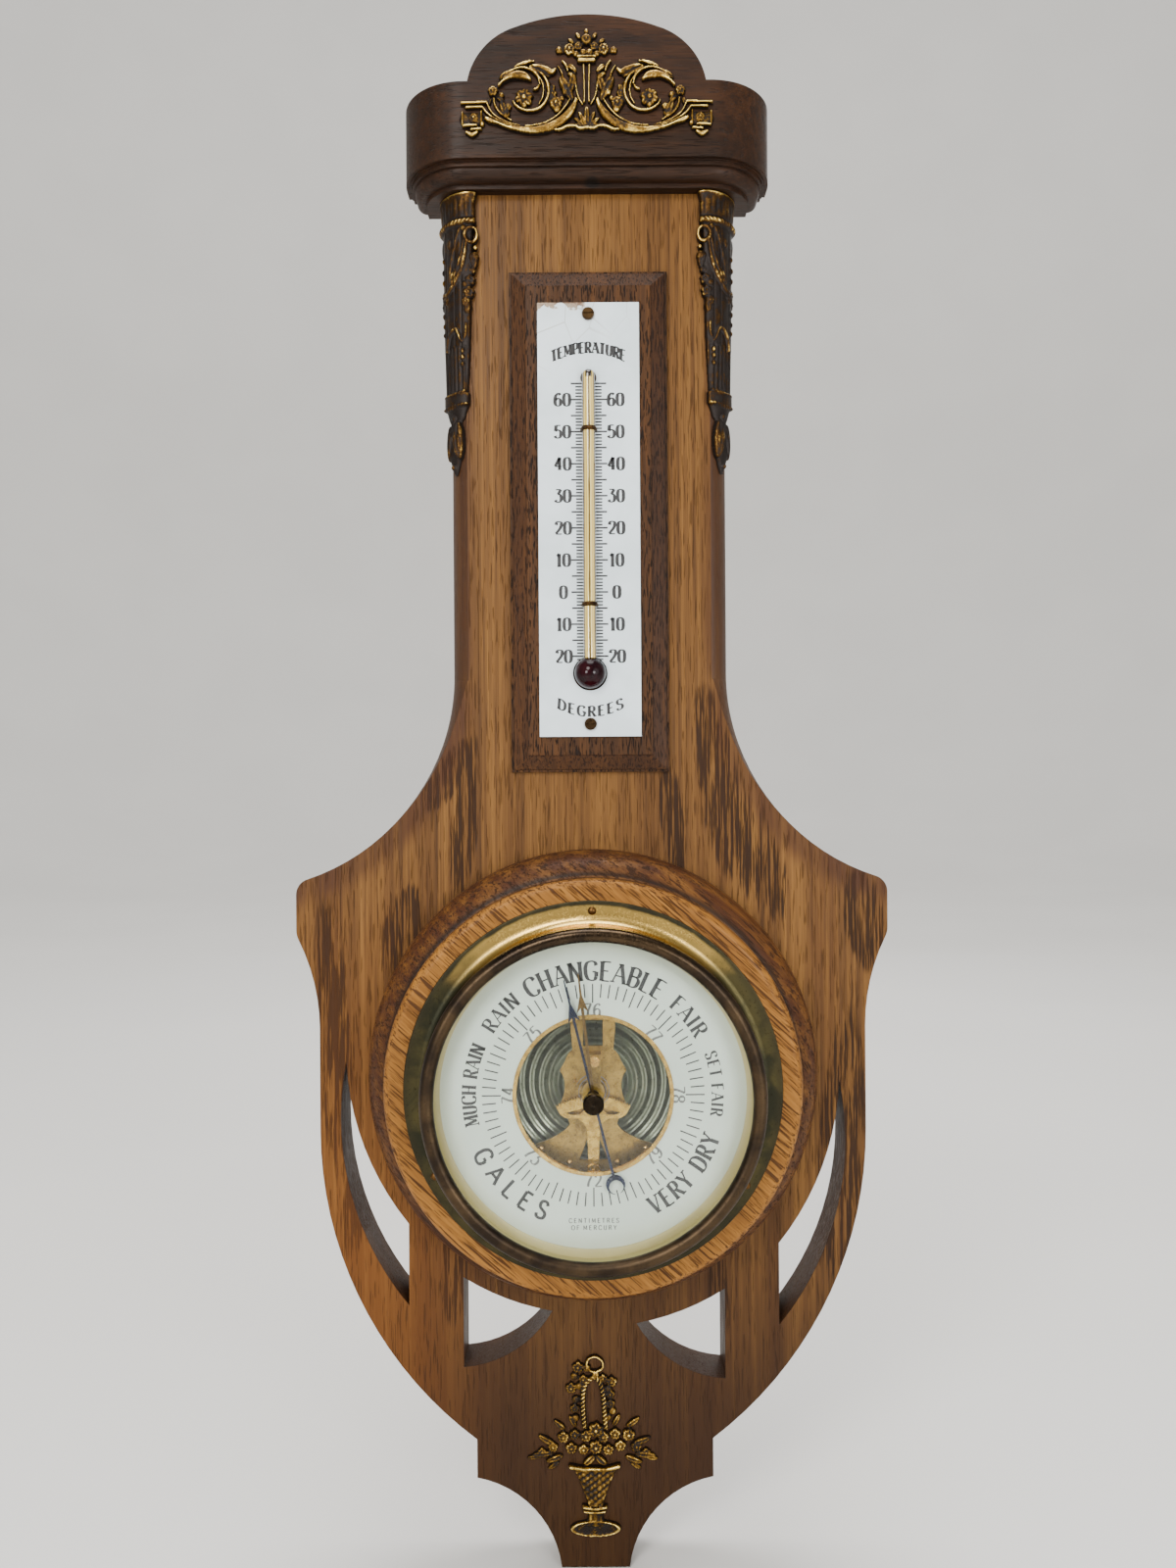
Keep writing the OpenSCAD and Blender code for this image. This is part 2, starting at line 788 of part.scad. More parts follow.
module main_lever() {
  color("#70747a") dial_frame() difference() {
    union() {
      translate([0, 0, lever_f]) linear_extrude(lever_t) lever_outline();
      translate([-lever_w / 2, lever_pin_z, lever_f + lever_t / 2]) rotate([0, 90, 0])
        cylinder(r = 1.5, h = lever_w);
    }
    translate([-lever_w, lever_pin_z, lever_f + lever_t / 2]) rotate([0, 90, 0])
      cylinder(r = 0.8 + running, h = 2 * lever_w);
  }
}

module lever_bracket() {
  ear_x = lever_w / 2 + 0.4;
  pin_f = lever_f + lever_t / 2;
  color("#b8944c") dial_frame() {
    both_sides() translate([ear_x, lever_pin_z - 1.8, pin_f - 1.6])
      cube([ear_t, 3.6, bridge_f - pin_f + 1.6]);
    translate([-ear_x - ear_t, lever_pin_z, pin_f]) rotate([0, 90, 0])
      cylinder(r = 0.8, h = 2 * (ear_x + ear_t));
  }
}

module bridge_pillars() {
  color("#b8944c") dial_frame() for (p = pillar_at) translate(p)
    disc(pillar_r, base_f + base_t, bridge_f);
}

// Half outline of the bridge plate, from the middle of its top edge down to its lower edge
bridge_side = [
  [0, 41], [10, 41], [10, 30], [7.9, 26], [7.7, 20], [7.1, 13.4], [8, 12.8], [8.9, 11.6],
  [9.6, 9.8], [10.4, 8.4], [11.5, 6.6], [11.4, 6], [10.5, 4.6], [9.9, 2.6], [9.8, 0.6],
  [10, -1.4], [10.6, -3.4], [11.4, -5], [10.8, -7.4], [9, -10], [8.2, -12.4], [9.8, -14.4],
  [13.2, -16.6], [17.2, -18.4], [21.5, -19.6], [23.4, -24], [23.5, -38], [0, -38]
];

module bridge_outline() {
  difference() {
    polygon(concat(bridge_side,
      [for (i = [len(bridge_side) - 2:-1:1]) [-bridge_side[i][0], bridge_side[i][1]]]));
    translate([-3.4, 14.8]) square([6.8, 9]);
    polygon([[-1.7, -16.5], [1.7, -16.5], [5, -24.8], [-5, -24.8]]);
  }
}

module bridge_plate() {
  color("#c49a4a") dial_frame() difference() {
    translate([0, 0, bridge_f]) linear_extrude(bridge_t) bridge_outline();
    disc(arbor_r + running, 0, bridge_face + 1);
    translate([0, sector_z]) disc(arbor_r + running, 0, bridge_face + 1);
    translate([-1, shaft_z - 2.4, 0]) cube([5.2, 4, bridge_face + 1]);
    translate(cock_screw_at) disc(0.8, 0, bridge_face + 1);
    for (p = pillar_at) translate(p) disc(0.9, 0, bridge_face + 1);
  }
}

module bridge_screws() {
  color("#8a6a30") dial_frame() for (p = pillar_at) translate([p[0], p[1], bridge_face])
    screw(1.8, 1, 0.85, bridge_t - 0.05);
}

module bridge_rivets() {
  color("#d8b060") dial_frame() both_sides() for (at = rivet_at)
    translate([at[0], at[1], bridge_face]) difference() {
      translate([0, 0, -0.6]) sphere(r = 1.2);
      translate([-2, -2, -3]) cube([4, 4, 3]);
    }
}

module rocking_shaft() {
  finger_reach = sector_f - shaft_f - 0.15;
  finger_top = sector_z + tail_z - tail_pin_r - running - shaft_z;
  color("#9a9c9e") dial_frame() translate([0, shaft_z, shaft_f]) {
    rotate([0, 90, 0]) {
      translate([0, 0, -shaft_half + 0.3]) cylinder(r = shaft_r, h = 2 * shaft_half - 0.6);
      translate([0, 0, -shaft_half - ear_t]) cylinder(r = shaft_pivot_r, h = 2 * (shaft_half + ear_t));
    }
    translate([-1.5, 0, -0.5]) cube([3, arm_reach + 1, 0.8]);
    translate([0.2, finger_top - 0.6, 0]) cube([2.4, 0.6, finger_reach]);
  }
}

module shaft_brackets() {
  color("#b8944c") dial_frame() difference() {
    both_sides() translate([shaft_half, shaft_z - 1.8, shaft_f - 1.7])
      cube([ear_t, 3.6, bridge_f - shaft_f + 1.7]);
    translate([-shaft_half - 2, shaft_z, shaft_f]) rotate([0, 90, 0])
      cylinder(r = shaft_pivot_r + running, h = 2 * shaft_half + 4);
  }
}

// Involute teeth

// Point of an involute of a circle, unrolled by an angle in degrees
function involute(base, a) =
  base * [cos(a) + a * PI / 180 * sin(a), sin(a) - a * PI / 180 * cos(a)];

// Angle unrolled where the involute reaches a radius
function unrolled(base, r) = r <= base ? 0 : sqrt(pow(r / base, 2) - 1) * 180 / PI;

function turned(p, a) = [p[0] * cos(a) - p[1] * sin(a), p[0] * sin(a) + p[1] * cos(a)];

// Outline of one tooth about the +x direction, from its root on one side to the other
function tooth(teeth) =
  let(
    pitch_r = gear_m * teeth / 2,
    base = pitch_r * cos(20),
    root = pitch_r - 1.25 * gear_m,
    tip = pitch_r + gear_m,
    at_pitch = unrolled(base, pitch_r),
    lean = at_pitch - 20,
    half = 90 / teeth - tooth_play / pitch_r * 180 / PI,
    low = unrolled(base, max(root, base)),
    high = unrolled(base, tip),
    flank = [for (i = [0:4]) involute(base, low + (high - low) * i / 4)],
    side = concat(root < base ? [[root, 0]] : [], flank)
  )
  concat(
    [for (p = side) turned(p, -half - lean)],
    [for (i = [len(side) - 1:-1:0]) turned([side[i][0], -side[i][1]], half + lean)]
  );

module pinion_outline() {
  polygon([for (k = [0:pinion_teeth - 1]) each
    [for (p = tooth(pinion_teeth)) turned(p, -90 + (k + 0.5) * 360 / pinion_teeth)]]);
}

// Toothed band, the curved arms that carry it, and the stem down to the staff
module sector_outline() {
  step = 360 / sector_teeth;
  side = (sector_count - 1) / 2;
  span = (side + 0.5) * step;
  arm = [[sector_r - 3.2, span], [sector_r - 4.9, span - 2.2], [sector_r - 6.2, span - 8],
         [sector_r - 7, span - 14], [sector_r - 8.8, span - 19], [sector_r - 11, span - 21.5]];
  opening = [[sector_r - 3.7, 5.4], [sector_r - 3.6, span - 5.2],
             [sector_r - 5, span - 9.5], [sector_r - 5.8, span - 17]];
  difference() {
    polygon([
      for (k = [-side:side]) each [for (p = tooth(sector_teeth)) turned(p, 90 + k * step)],
      for (p = arm) turned([p[0], 0], 90 + p[1]), [-1.9, 6], [-1.7, 0],
      [1.7, 0], [1.9, 6], for (i = [len(arm) - 1:-1:0]) turned([arm[i][0], 0], 90 - arm[i][1])
    ]);
    for (flip = [-1, 1]) polygon([for (p = opening) turned([p[0], 0], 90 + flip * p[1])]);
  }
}

module sector() {
  color("#d4aa50") dial_frame() translate([0, sector_z]) {
    translate([0, 0, sector_f]) linear_extrude(sector_t) sector_outline();
    disc(2.4, sector_f - 0.5, sector_f + sector_t + 0.6);
    disc(arbor_r, bridge_f, sector_f + sector_t + 1.2);
    translate([0.1, tail_z - 0.8, sector_f]) cube([2.4, -tail_z, sector_t]);
    translate([tail_x, tail_z]) disc(tail_pin_r, sector_f - 0.9, sector_f + 0.5);
  }
}

module centre_arbor() {
  color("#8a8c90") dial_frame() {
    disc(arbor_r, bridge_f + 0.2, hub_f + 1.6);
    translate([0, 0, pinion_f]) linear_extrude(pinion_h) pinion_outline();
    disc(1.1, hairspring_f - 0.4, hairspring_f + hairspring_h + 0.4);
  }
}

module arbor_cock() {
  foot_w = 4.6;
  boss_r = 3.9;
  foot = [cock_screw_at[0] - foot_w / 2, cock_screw_at[1] - foot_w / 2];
  color("#c49a4a") dial_frame() difference() {
    union() {
      translate([foot[0], foot[1], bridge_face]) cube([foot_w, foot_w, cock_f + cock_t - bridge_face]);
      translate([0, 0, cock_f]) linear_extrude(cock_t)
        polygon([[-2.2, 0], [2.6, 0], [foot[0] + foot_w, foot[1] + 1], [foot[0], foot[1] + 1]]);
      disc(boss_r, cock_f, cock_f + cock_t);
    }
    disc(arbor_r + running, 0, cock_f + 5);
    translate(cock_screw_at) disc(0.8, 0, cock_f + 5);
  }
}

module cock_screw() {
  color("#8a6a30") dial_frame() translate([cock_screw_at[0], cock_screw_at[1], cock_f + cock_t])
    screw(1.8, 0.9, 0.75, cock_f + cock_t - bridge_f - 0.2);
}

// A flat spiral of four turns round the collet, hooked into its stud
module hairspring() {
  turns = 4;
  per_turn = 18;
  start_r = 1.5;
  end_r = norm(stud_at) - 0.75;
  end_a = atan2(stud_at[1], stud_at[0]);
  n = turns * per_turn;
  t = 0.22;
  function at(i, off) =
    let(r = start_r + (end_r - start_r) * i / n + off, a = end_a + (i - n) * 360 / per_turn)
      [r * cos(a), r * sin(a)];
  color("#5a6a90") dial_frame() translate([0, 0, hairspring_f]) linear_extrude(hairspring_h)
    polygon([for (i = [0:n]) at(i, -t / 2), for (i = [n:-1:0]) at(i, t / 2)]);
}

module hairspring_stud() {
  color("#c49a4a") dial_frame() translate(stud_at)
    disc(0.6, bridge_face, hairspring_f + hairspring_h + 0.4);
}

// Hands

module pointer() {
  shaft_w = 0.9;
  head_l = 13;
  head_w = 4.2;
  crescent_r = 3.3;
  color("#252a38") dial_frame() rotate([0, 0, pointer_angle]) {
    difference() {
      union() {
        disc(2.2, hub_f, hub_f + 1.2);
        translate([0, 0, hub_f + 0.4]) linear_extrude(hand_t) {
          translate([-shaft_w / 2, -pointer_tail + crescent_r - 0.6])
            square([shaft_w, pointer_len + pointer_tail - crescent_r - head_l + 2]);
          polygon([[-shaft_w / 2, pointer_len - head_l], [0, pointer_len - head_l - 1.2],
                   [shaft_w / 2, pointer_len - head_l], [head_w / 2, pointer_len - head_l - 1.6],
                   [0.35, pointer_len - head_l + 4.5], [0.2, pointer_len],
                   [-0.2, pointer_len], [-0.35, pointer_len - head_l + 4.5],
                   [-head_w / 2, pointer_len - head_l - 1.6]]);
          translate([0, -pointer_tail]) difference() {
            circle(r = crescent_r);
            translate([0, -0.9]) circle(r = crescent_r - 0.9);
            translate([-0.9, -crescent_r - 2]) square([1.8, 3]);
          }
        }
      }
      disc(arbor_r + 0.02, 0, hub_f + 5);
    }
  }
}

module set_hand() {
  shaft_w = 1;
  head_l = 11.5;
  head_w = 4;
  color("#b8924a") dial_frame() rotate([0, 0, set_hand_angle]) difference() {
    union() {
      disc(2, set_hub_f, set_hub_f + 1);
      translate([0, 0, set_hub_f + 0.2]) linear_extrude(hand_t) {
        translate([-shaft_w / 2, 0]) square([shaft_w, set_hand_len - head_l]);
        polygon([[-shaft_w / 2, set_hand_len - head_l], [-head_w / 2, set_hand_len - head_l - 1.6],
                 [-0.4, set_hand_len - head_l + 4], [-0.2, set_hand_len],
                 [0.2, set_hand_len], [0.4, set_hand_len - head_l + 4],
                 [head_w / 2, set_hand_len - head_l - 1.6], [shaft_w / 2, set_hand_len - head_l]]);
      }
    }
    disc(spindle_r - 0.2 + 0.02, 0, set_hub_f + 5);
  }
}

module set_knob() {
  knob_f = glass_f + 0.2;
  color("#2a2028") dial_frame() {
    disc(spindle_r - 0.2, set_hub_f + 0.1, set_hub_f + 2);
    disc(spindle_r, set_hub_f + 1.1, knob_f + 1);
    rotate_extrude() polygon([
      [0, knob_f], [knob_r - 0.8, knob_f], [knob_r - 0.4, knob_f + 1.2], [knob_r - 0.4, knob_f + 2],
      [knob_r, knob_f + 2.6], [knob_r, knob_f + 5], [knob_r - 0.5, knob_f + 5.6],
      [0.8, knob_f + 5.6], [0, knob_f + 5.2]
    ]);
  }
}

// Pressed brass ornaments: each is drawn on its face and cut off flat at its back

module pressed() {
  difference() {
    children();
    translate([-60, -80, -20]) cube([120, 140, 20]);
  }
}

// An arc of round relief whose middle line lies in the face
module relief_arc(at, radius, width, from, to) {
  translate(at) rotate([0, 0, from]) rotate_extrude(angle = to - from, $fn = 72)
    translate([radius, 0]) circle(r = width / 2, $fn = 24);
}

module berry(at, r) {
  translate(at) sphere(r = r, $fn = 24);
}

module flower(at, r, petals) {
  for (a = [0:360 / petals:359]) berry(at + r * 0.58 * [cos(a), sin(a)], r * 0.46);
  berry(at, r * 0.55);
}

module scroll_half() {
  // End block between its bars, with a drop under it
  translate([37.7, 2.8, -1]) cube([6, 7.4, 2.4]);
  translate([36.3, 10.9, -1]) cube([8.6, 1.2, 2.8]);
  translate([37.2, 9.6, -1]) cube([7.2, 1.6, 2]);
  translate([36.9, 2.1, -1]) cube([7.8, 1.2, 2.8]);
  berry([41.2, 1.2], 1.4);
  // Great scroll that rises beside the stem
  relief_arc([20.4, 25.9], 24.5, 2.8, -121, -50);
  relief_arc([10.4, 11], 6.9, 2.5, 140, 252);
  berry([36.6, 6.4], 1.7);
  // Upper leaf, the leaf over it, and the spiral round the rosette
  relief_arc([24.5, 15.5], 7.1, 2.4, 8, 172);
  relief_arc([18, 10], 16, 1.8, 58, 127);
  relief_arc([21, 14.2], 5.9, 1.4, 170, 345);
  flower([22.3, 13.7], 4, 6);
  // Clusters and berries
  flower([32.9, 15], 2.4, 5);
  berry([31.2, 15.9], 1.7);
  berry([17.4, 15.4], 1.6);
  berry([35.3, 12.8], 1.3);
  flower([28.2, 10.4], 2, 5);
  for (at = [[13.4, 13], [11.6, 11.6], [11.6, 14.6], [9.4, 15.8]]) berry(at, 1.3);
  // Ribbon bow beside the vase
  relief_arc([5.4, 22.4], 2.2, 1.2, 0, 360);
  relief_arc([4, 1.4], 3, 1.2, 0, 180);
}

module scroll_ornament() {
  color("#a8842e") translate([0, -head_d, head_low_z + 7.4]) scale(head_w / 137)
    front() pressed() {
    both_sides() scroll_half();
    // Vase on its stem with flowers in it, over a small palmette
    translate([-1, 1, -1]) cube([2, 26, 2.2]);
    translate([-1.9, 25.4, -1]) cube([3.8, 2.6, 2.8]);
    translate([-3.6, 21.8, -1]) cube([7.2, 1.2, 2]);
    translate([-4, 10, -1]) cube([8, 1.2, 1.8]);
    translate([-8.6, 0.4, -1]) cube([17.2, 1.2, 2]);
    for (x = [-7.6, -3.8, 0, 3.8, 7.6]) flower([x, 30.2 - abs(x) * 0.12], 2.3, 5);
    flower([0, 33.8], 2.3, 5);
  }
}

// Relief turned about an axis behind the face, so that it stands out less than its half width
module shallow_turn(half_widths) {
  sink = 5;
  rotate([-90, 0, 0]) translate([0, sink, 0]) rotate_extrude($fn = 72) polygon(concat(
    [for (p = half_widths) [sqrt(p[0] * p[0] + sink * sink), p[1]]],
    [[0, half_widths[len(half_widths) - 1][1]], [0, half_widths[0][1]]]
  ));
}

module basket_ornament() {
  color("#a8842e") translate([0, -board_t, bottom_z + 71]) scale(foot_w / 87.4)
    front() pressed() {
    // Handle with its ribbon and bows
    both_sides() {
      translate([4, -4, 0]) rotate([90, 0, 0]) cylinder(r = 0.8, h = 19, $fn = 24);
      berry([5, 3.2], 1.6);
      berry([6.2, 0.6], 1.6);
      berry([6.6, -2.3], 1.5);
      berry([5.4, -4.6], 1.4);
      berry([5.2, -9.6], 1.4);
    }
    relief_arc([0, -4], 4, 1.6, 0, 180);
    relief_arc([0, 5], 3.1, 1.2, 0, 360);
    berry([0, 1], 1.6);
    // Spray of flowers and leaves
    for (x = [-21:4.2:21]) flower([x, -28 + abs(x) * 0.04], 2.9, 5);
    for (x = [-10.5:4.2:10.5]) flower([x, -23.6], 2.6, 5);
    // Woven basket, its stem and its oval foot
    translate([0, -57, 0]) shallow_turn([
      [8.2, 0], [8.8, 1.4], [7.4, 3.2], [3, 4], [2.6, 9], [3.8, 9.6], [3.8, 10.6],
      [3.6, 11.2], [8.4, 25], [9, 26.4], [8.4, 27.4]
    ]);
  }
}

// Section of the neck's corner, a touch larger than the wood, seen from its rounding centre
module neck_corner() {
  flat = neck_round + seat;
  inner = -2 * neck_round;
  half = sqrt(pow(column_in, 2) - pow(flat, 2)) - 0.2;
  translate([inner, -flat]) square([half - inner, flat - inner]);
  translate([inner, -half]) square([flat - inner, half - inner]);
  intersection() {
    circle(r = column_in);
    translate([0, -flat]) square([flat, flat]);
  }
}

module column_metal(band_z) {
  top = column_top_z;
  collar_z = top - column_collar_h;
  core = neck_round - 1;
  rotate([0, 0, -97]) rotate_extrude(angle = 118)
    polygon([
      [core, top], [column_out + 0.6, top], [column_out + 0.6, top - 2.4],
      [column_out - 0.4, top - 3], [column_out, collar_z + 2],
      [column_out + 0.7, collar_z + 1.4], [column_out + 0.7, collar_z],
      [column_out, collar_z - 0.6], [column_out - 1, band_z],
      [column_out - 0.2, band_z - 0.8], [column_out - 0.2, band_z - 4.4],
      [column_out - 1.4, band_z - 5], [column_in + 0.9, band_z - 12],
      [core, band_z - 12]
    ]);
  // Flutes of the shaft
  for (a = [-83:10.5:12]) rotate([0, 0, a]) translate([column_out - 0.7, 0, band_z])
    cylinder(r = 0.7, h = column_shaft_h * 0.45, $fn = 24);
  // Leaf that hangs under the column
  rotate([0, 0, -42]) translate([column_in + 1.2, 0, band_z - 21]) rotate_extrude($fn = 36)
    polygon([[0, -8], [0.9, -7], [1.9, -3], [2.1, 0], [1.6, 4], [0.8, 8.5], [0.6, 10], [0, 10]]);
}

// The mount wraps the rounded corner of the neck like a slim half column
module column_mount() {
  band_z = column_top_z - column_collar_h - column_shaft_h;
  translate([column_x, -column_f, 0]) difference() {
    column_metal(band_z);
    translate([0, 0, band_z - 40]) linear_extrude(column_top_z - band_z + 50) neck_corner();
  }
}

module column_mount_right() {
  color("#8a6c2c") column_mount();
}

module column_mount_left() {
  color("#8a6c2c") mirror([1, 0, 0]) column_mount();
}

// Hanger

module hanger_plate() {
  color("#b89850") front() difference() {
    translate([-hanger_size[0] / 2, -hanger_size[1] / 2, 0]) cube(hanger_size);
    disc(hanger_hole_r, -1, 5);
    both_sides() translate([hanger_screw_x, 0]) {
      disc(1.4, -1, 5);
      translate([0, 0, -0.01]) cylinder(r1 = screw_head_r, r2 = 1.4, h = 1.21);
    }
  }
}

module hanger_screws() {
  color("#8a7a50") front() both_sides() translate([hanger_screw_x, 0, 0]) difference() {
    union() {
      translate([0, 0, 0.1]) cylinder(r1 = screw_head_r - 0.2, r2 = 1.2, h = 1.2);
      disc(1.2, 1, 12);
    }
    translate([-4, -0.4, 0]) cube([8, 0.8, 0.6]);
  }
}

case_board();
head_block();
cornice_moulding();
thermometer_panel();
dial_surround();
hanger_plate();
hanger_screws();
scroll_ornament();
column_mount_left();
column_mount_right();
basket_ornament();
scale_plate();
scale_screws();
thermometer_tube();
thermometer_bulb();
spirit_column();
tube_ties();
bezel();
bezel_pins();
glass();
sight_ring();
dial();
window_rim();
movement_case();
base_plate();
case_screws();
adjusting_screw();
capsule();
capsule_post();
main_lever();
lever_bracket();
bridge_pillars();
bridge_plate();
bridge_screws();
bridge_rivets();
rocking_shaft();
shaft_brackets();
sector();
centre_arbor();
arbor_cock();
cock_screw();
hairspring();
hairspring_stud();
pointer();
set_hand();
set_knob();
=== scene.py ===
import json
import math

import bpy
import numpy as np
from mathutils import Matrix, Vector


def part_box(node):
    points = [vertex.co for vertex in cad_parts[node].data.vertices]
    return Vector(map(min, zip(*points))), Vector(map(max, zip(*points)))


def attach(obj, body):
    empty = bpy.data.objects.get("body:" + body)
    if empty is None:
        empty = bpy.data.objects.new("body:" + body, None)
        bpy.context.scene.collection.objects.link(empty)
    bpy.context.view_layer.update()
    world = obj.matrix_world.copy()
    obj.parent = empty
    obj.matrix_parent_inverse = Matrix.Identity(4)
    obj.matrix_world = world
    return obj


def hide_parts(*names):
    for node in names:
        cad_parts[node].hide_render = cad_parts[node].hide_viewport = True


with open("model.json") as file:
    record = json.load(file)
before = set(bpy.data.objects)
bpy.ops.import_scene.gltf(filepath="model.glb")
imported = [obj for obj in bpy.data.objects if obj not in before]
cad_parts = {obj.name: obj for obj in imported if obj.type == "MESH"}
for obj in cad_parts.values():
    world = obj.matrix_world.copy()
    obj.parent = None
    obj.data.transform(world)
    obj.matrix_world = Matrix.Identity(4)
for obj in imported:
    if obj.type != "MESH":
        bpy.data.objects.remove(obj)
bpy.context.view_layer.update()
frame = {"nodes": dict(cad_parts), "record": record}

MM = 0.001
SLOT_OF = {part["node"]: part["material_slot"] for part in frame["record"]["subparts"]}

# Heights in millimetres: the dial's middle, and the scale plate's two screws and the hole for its tube
DIAL_Z = -341.8
SCREW_Z = [-64.4, -214.1]
TUBE_HOLE_Z = -87.6


def front_of(node):
    """Distance from the back of a node's front face, in millimetres."""
    return -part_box(node)[0].y / MM


# Materials

def tint(red, green, blue):
    """A colour given as screen values from 0 to 255, made linear."""
    def linear(value):
        value = value / 255
        return value / 12.92 if value <= 0.04045 else ((value + 0.055) / 1.055) ** 2.4
    return (linear(red), linear(green), linear(blue), 1)


class Value:
    """What a node puts out. Adding, subtracting and multiplying it makes further nodes."""

    def __init__(self, net, socket):
        self.net, self.socket = net, socket

    def __add__(self, other):
        return self.net.math("ADD", self, other)

    def __sub__(self, other):
        return self.net.math("SUBTRACT", self, other)

    def __mul__(self, other):
        return self.net.math("MULTIPLY", self, other)


class Net:
    """A material's nodes, written as plain calls."""

    def __init__(self, name, **shader):
        self.material = bpy.data.materials.new(name)
        self.material.use_nodes = True
        self.tree = self.material.node_tree
        self.shader = self.tree.nodes["Principled BSDF"]
        for key, value in shader.items():
            self.set(key.replace("_", " "), value)
        self.coordinates = self.tree.nodes.new("ShaderNodeTexCoord")

    def put(self, socket, value):
        if isinstance(value, Value):
            self.tree.links.new(value.socket, socket)
        else:
            socket.default_value = value

    def set(self, socket, value):
        self.put(self.shader.inputs[socket], value)

    def node(self, kind, *values, **settings):
        made = self.tree.nodes.new("ShaderNode" + kind)
        for key, value in settings.items():
            setattr(made, key, value)
        for socket, value in zip(made.inputs, values):
            if value is not None:
                self.put(socket, value)
        return made

    def out(self, made, socket=0):
        return Value(self, made.outputs[socket])

    def place(self):
        return self.out(self.coordinates, "Object")

    def normal(self):
        return self.out(self.coordinates, "Normal")

    def split(self, vector):
        made = self.node("SeparateXYZ", vector)
        return [self.out(made, i) for i in range(3)]

    def length(self, across, up):
        """The length of a line that goes so far across and so far up."""
        return self.math("SQRT", across * across + up * up)

    def from_dial(self):
        """Height above the dial's middle, and distance from its axis, in metres."""
        x, _, z = self.split(self.place())
        up = z - DIAL_Z * MM
        return up, self.length(x, up)

    def uneven(self, place, across, along, high, least):
        """A patchy share between least and 1, drawn out along the grain."""
        return self.step(self.noise(self.stretch(place, across, across, along), 1.0, 3, 0.6),
                         0.30, high, least, 1.0)

    def math(self, operation, first, second=0.0, third=0.0):
        return self.out(self.node("Math", first, second, third, operation=operation))

    def step(self, value, low, high, start=0.0, end=1.0):
        """Rises smoothly from start to end as value goes from low to high."""
        made = self.node("MapRange", interpolation_type="SMOOTHSTEP")
        for key, number in zip(("Value", "From Min", "From Max", "To Min", "To Max"),
                               (value, low, high, start, end)):
            self.put(made.inputs[key], number)
        return self.out(made)

    def fall(self, value, low, high):
        """Drops smoothly from 1 to 0 as value goes from low to high."""
        return self.step(value, low, high, 1.0, 0.0)

    def stretch(self, vector, x, y, z):
        made = self.node("Mapping", vector)
        made.inputs["Scale"].default_value = (x, y, z)
        return self.out(made)

    def noise(self, vector, scale=1.0, detail=2.0, rough=0.5, bend=0.0):
        made = self.node("TexNoise")
        for key, number in (("Vector", vector), ("Scale", scale), ("Detail", detail),
                            ("Roughness", rough), ("Distortion", bend)):
            self.put(made.inputs[key], number)
        return self.out(made)

    def cracks(self, vector, scale=1.0):
        made = self.node("TexVoronoi", feature="DISTANCE_TO_EDGE")
        self.put(made.inputs["Vector"], vector)
        self.put(made.inputs["Scale"], scale)
        return self.out(made)

    def mix(self, share, first, second):
        made = self.node("Mix", data_type="RGBA")
        self.put(made.inputs[0], share)
        self.put(made.inputs[6], first)
        self.put(made.inputs[7], second)
        return self.out(made, 2)

    def ramp(self, share, *stops):
        made = self.node("ValToRGB", share)
        elements = made.color_ramp.elements
        while len(elements) < len(stops):
            elements.new(0.5)
        for element, (place, colour) in zip(elements, stops):
            element.position = place
            element.color = colour
        return self.out(made)

    def bump(self, height, depth, strength=1.0, under=None):
        """Raises the surface by height times depth, in metres."""
        made = self.node("Bump")
        made.inputs["Strength"].default_value = strength
        made.inputs["Distance"].default_value = depth
        self.put(made.inputs["Height"], height)
        if under is not None:
            self.put(made.inputs["Normal"], under)
        return self.out(made)

    def soft_edge(self, radius):
        return self.out(self.node("Bevel", radius * MM, samples=4))


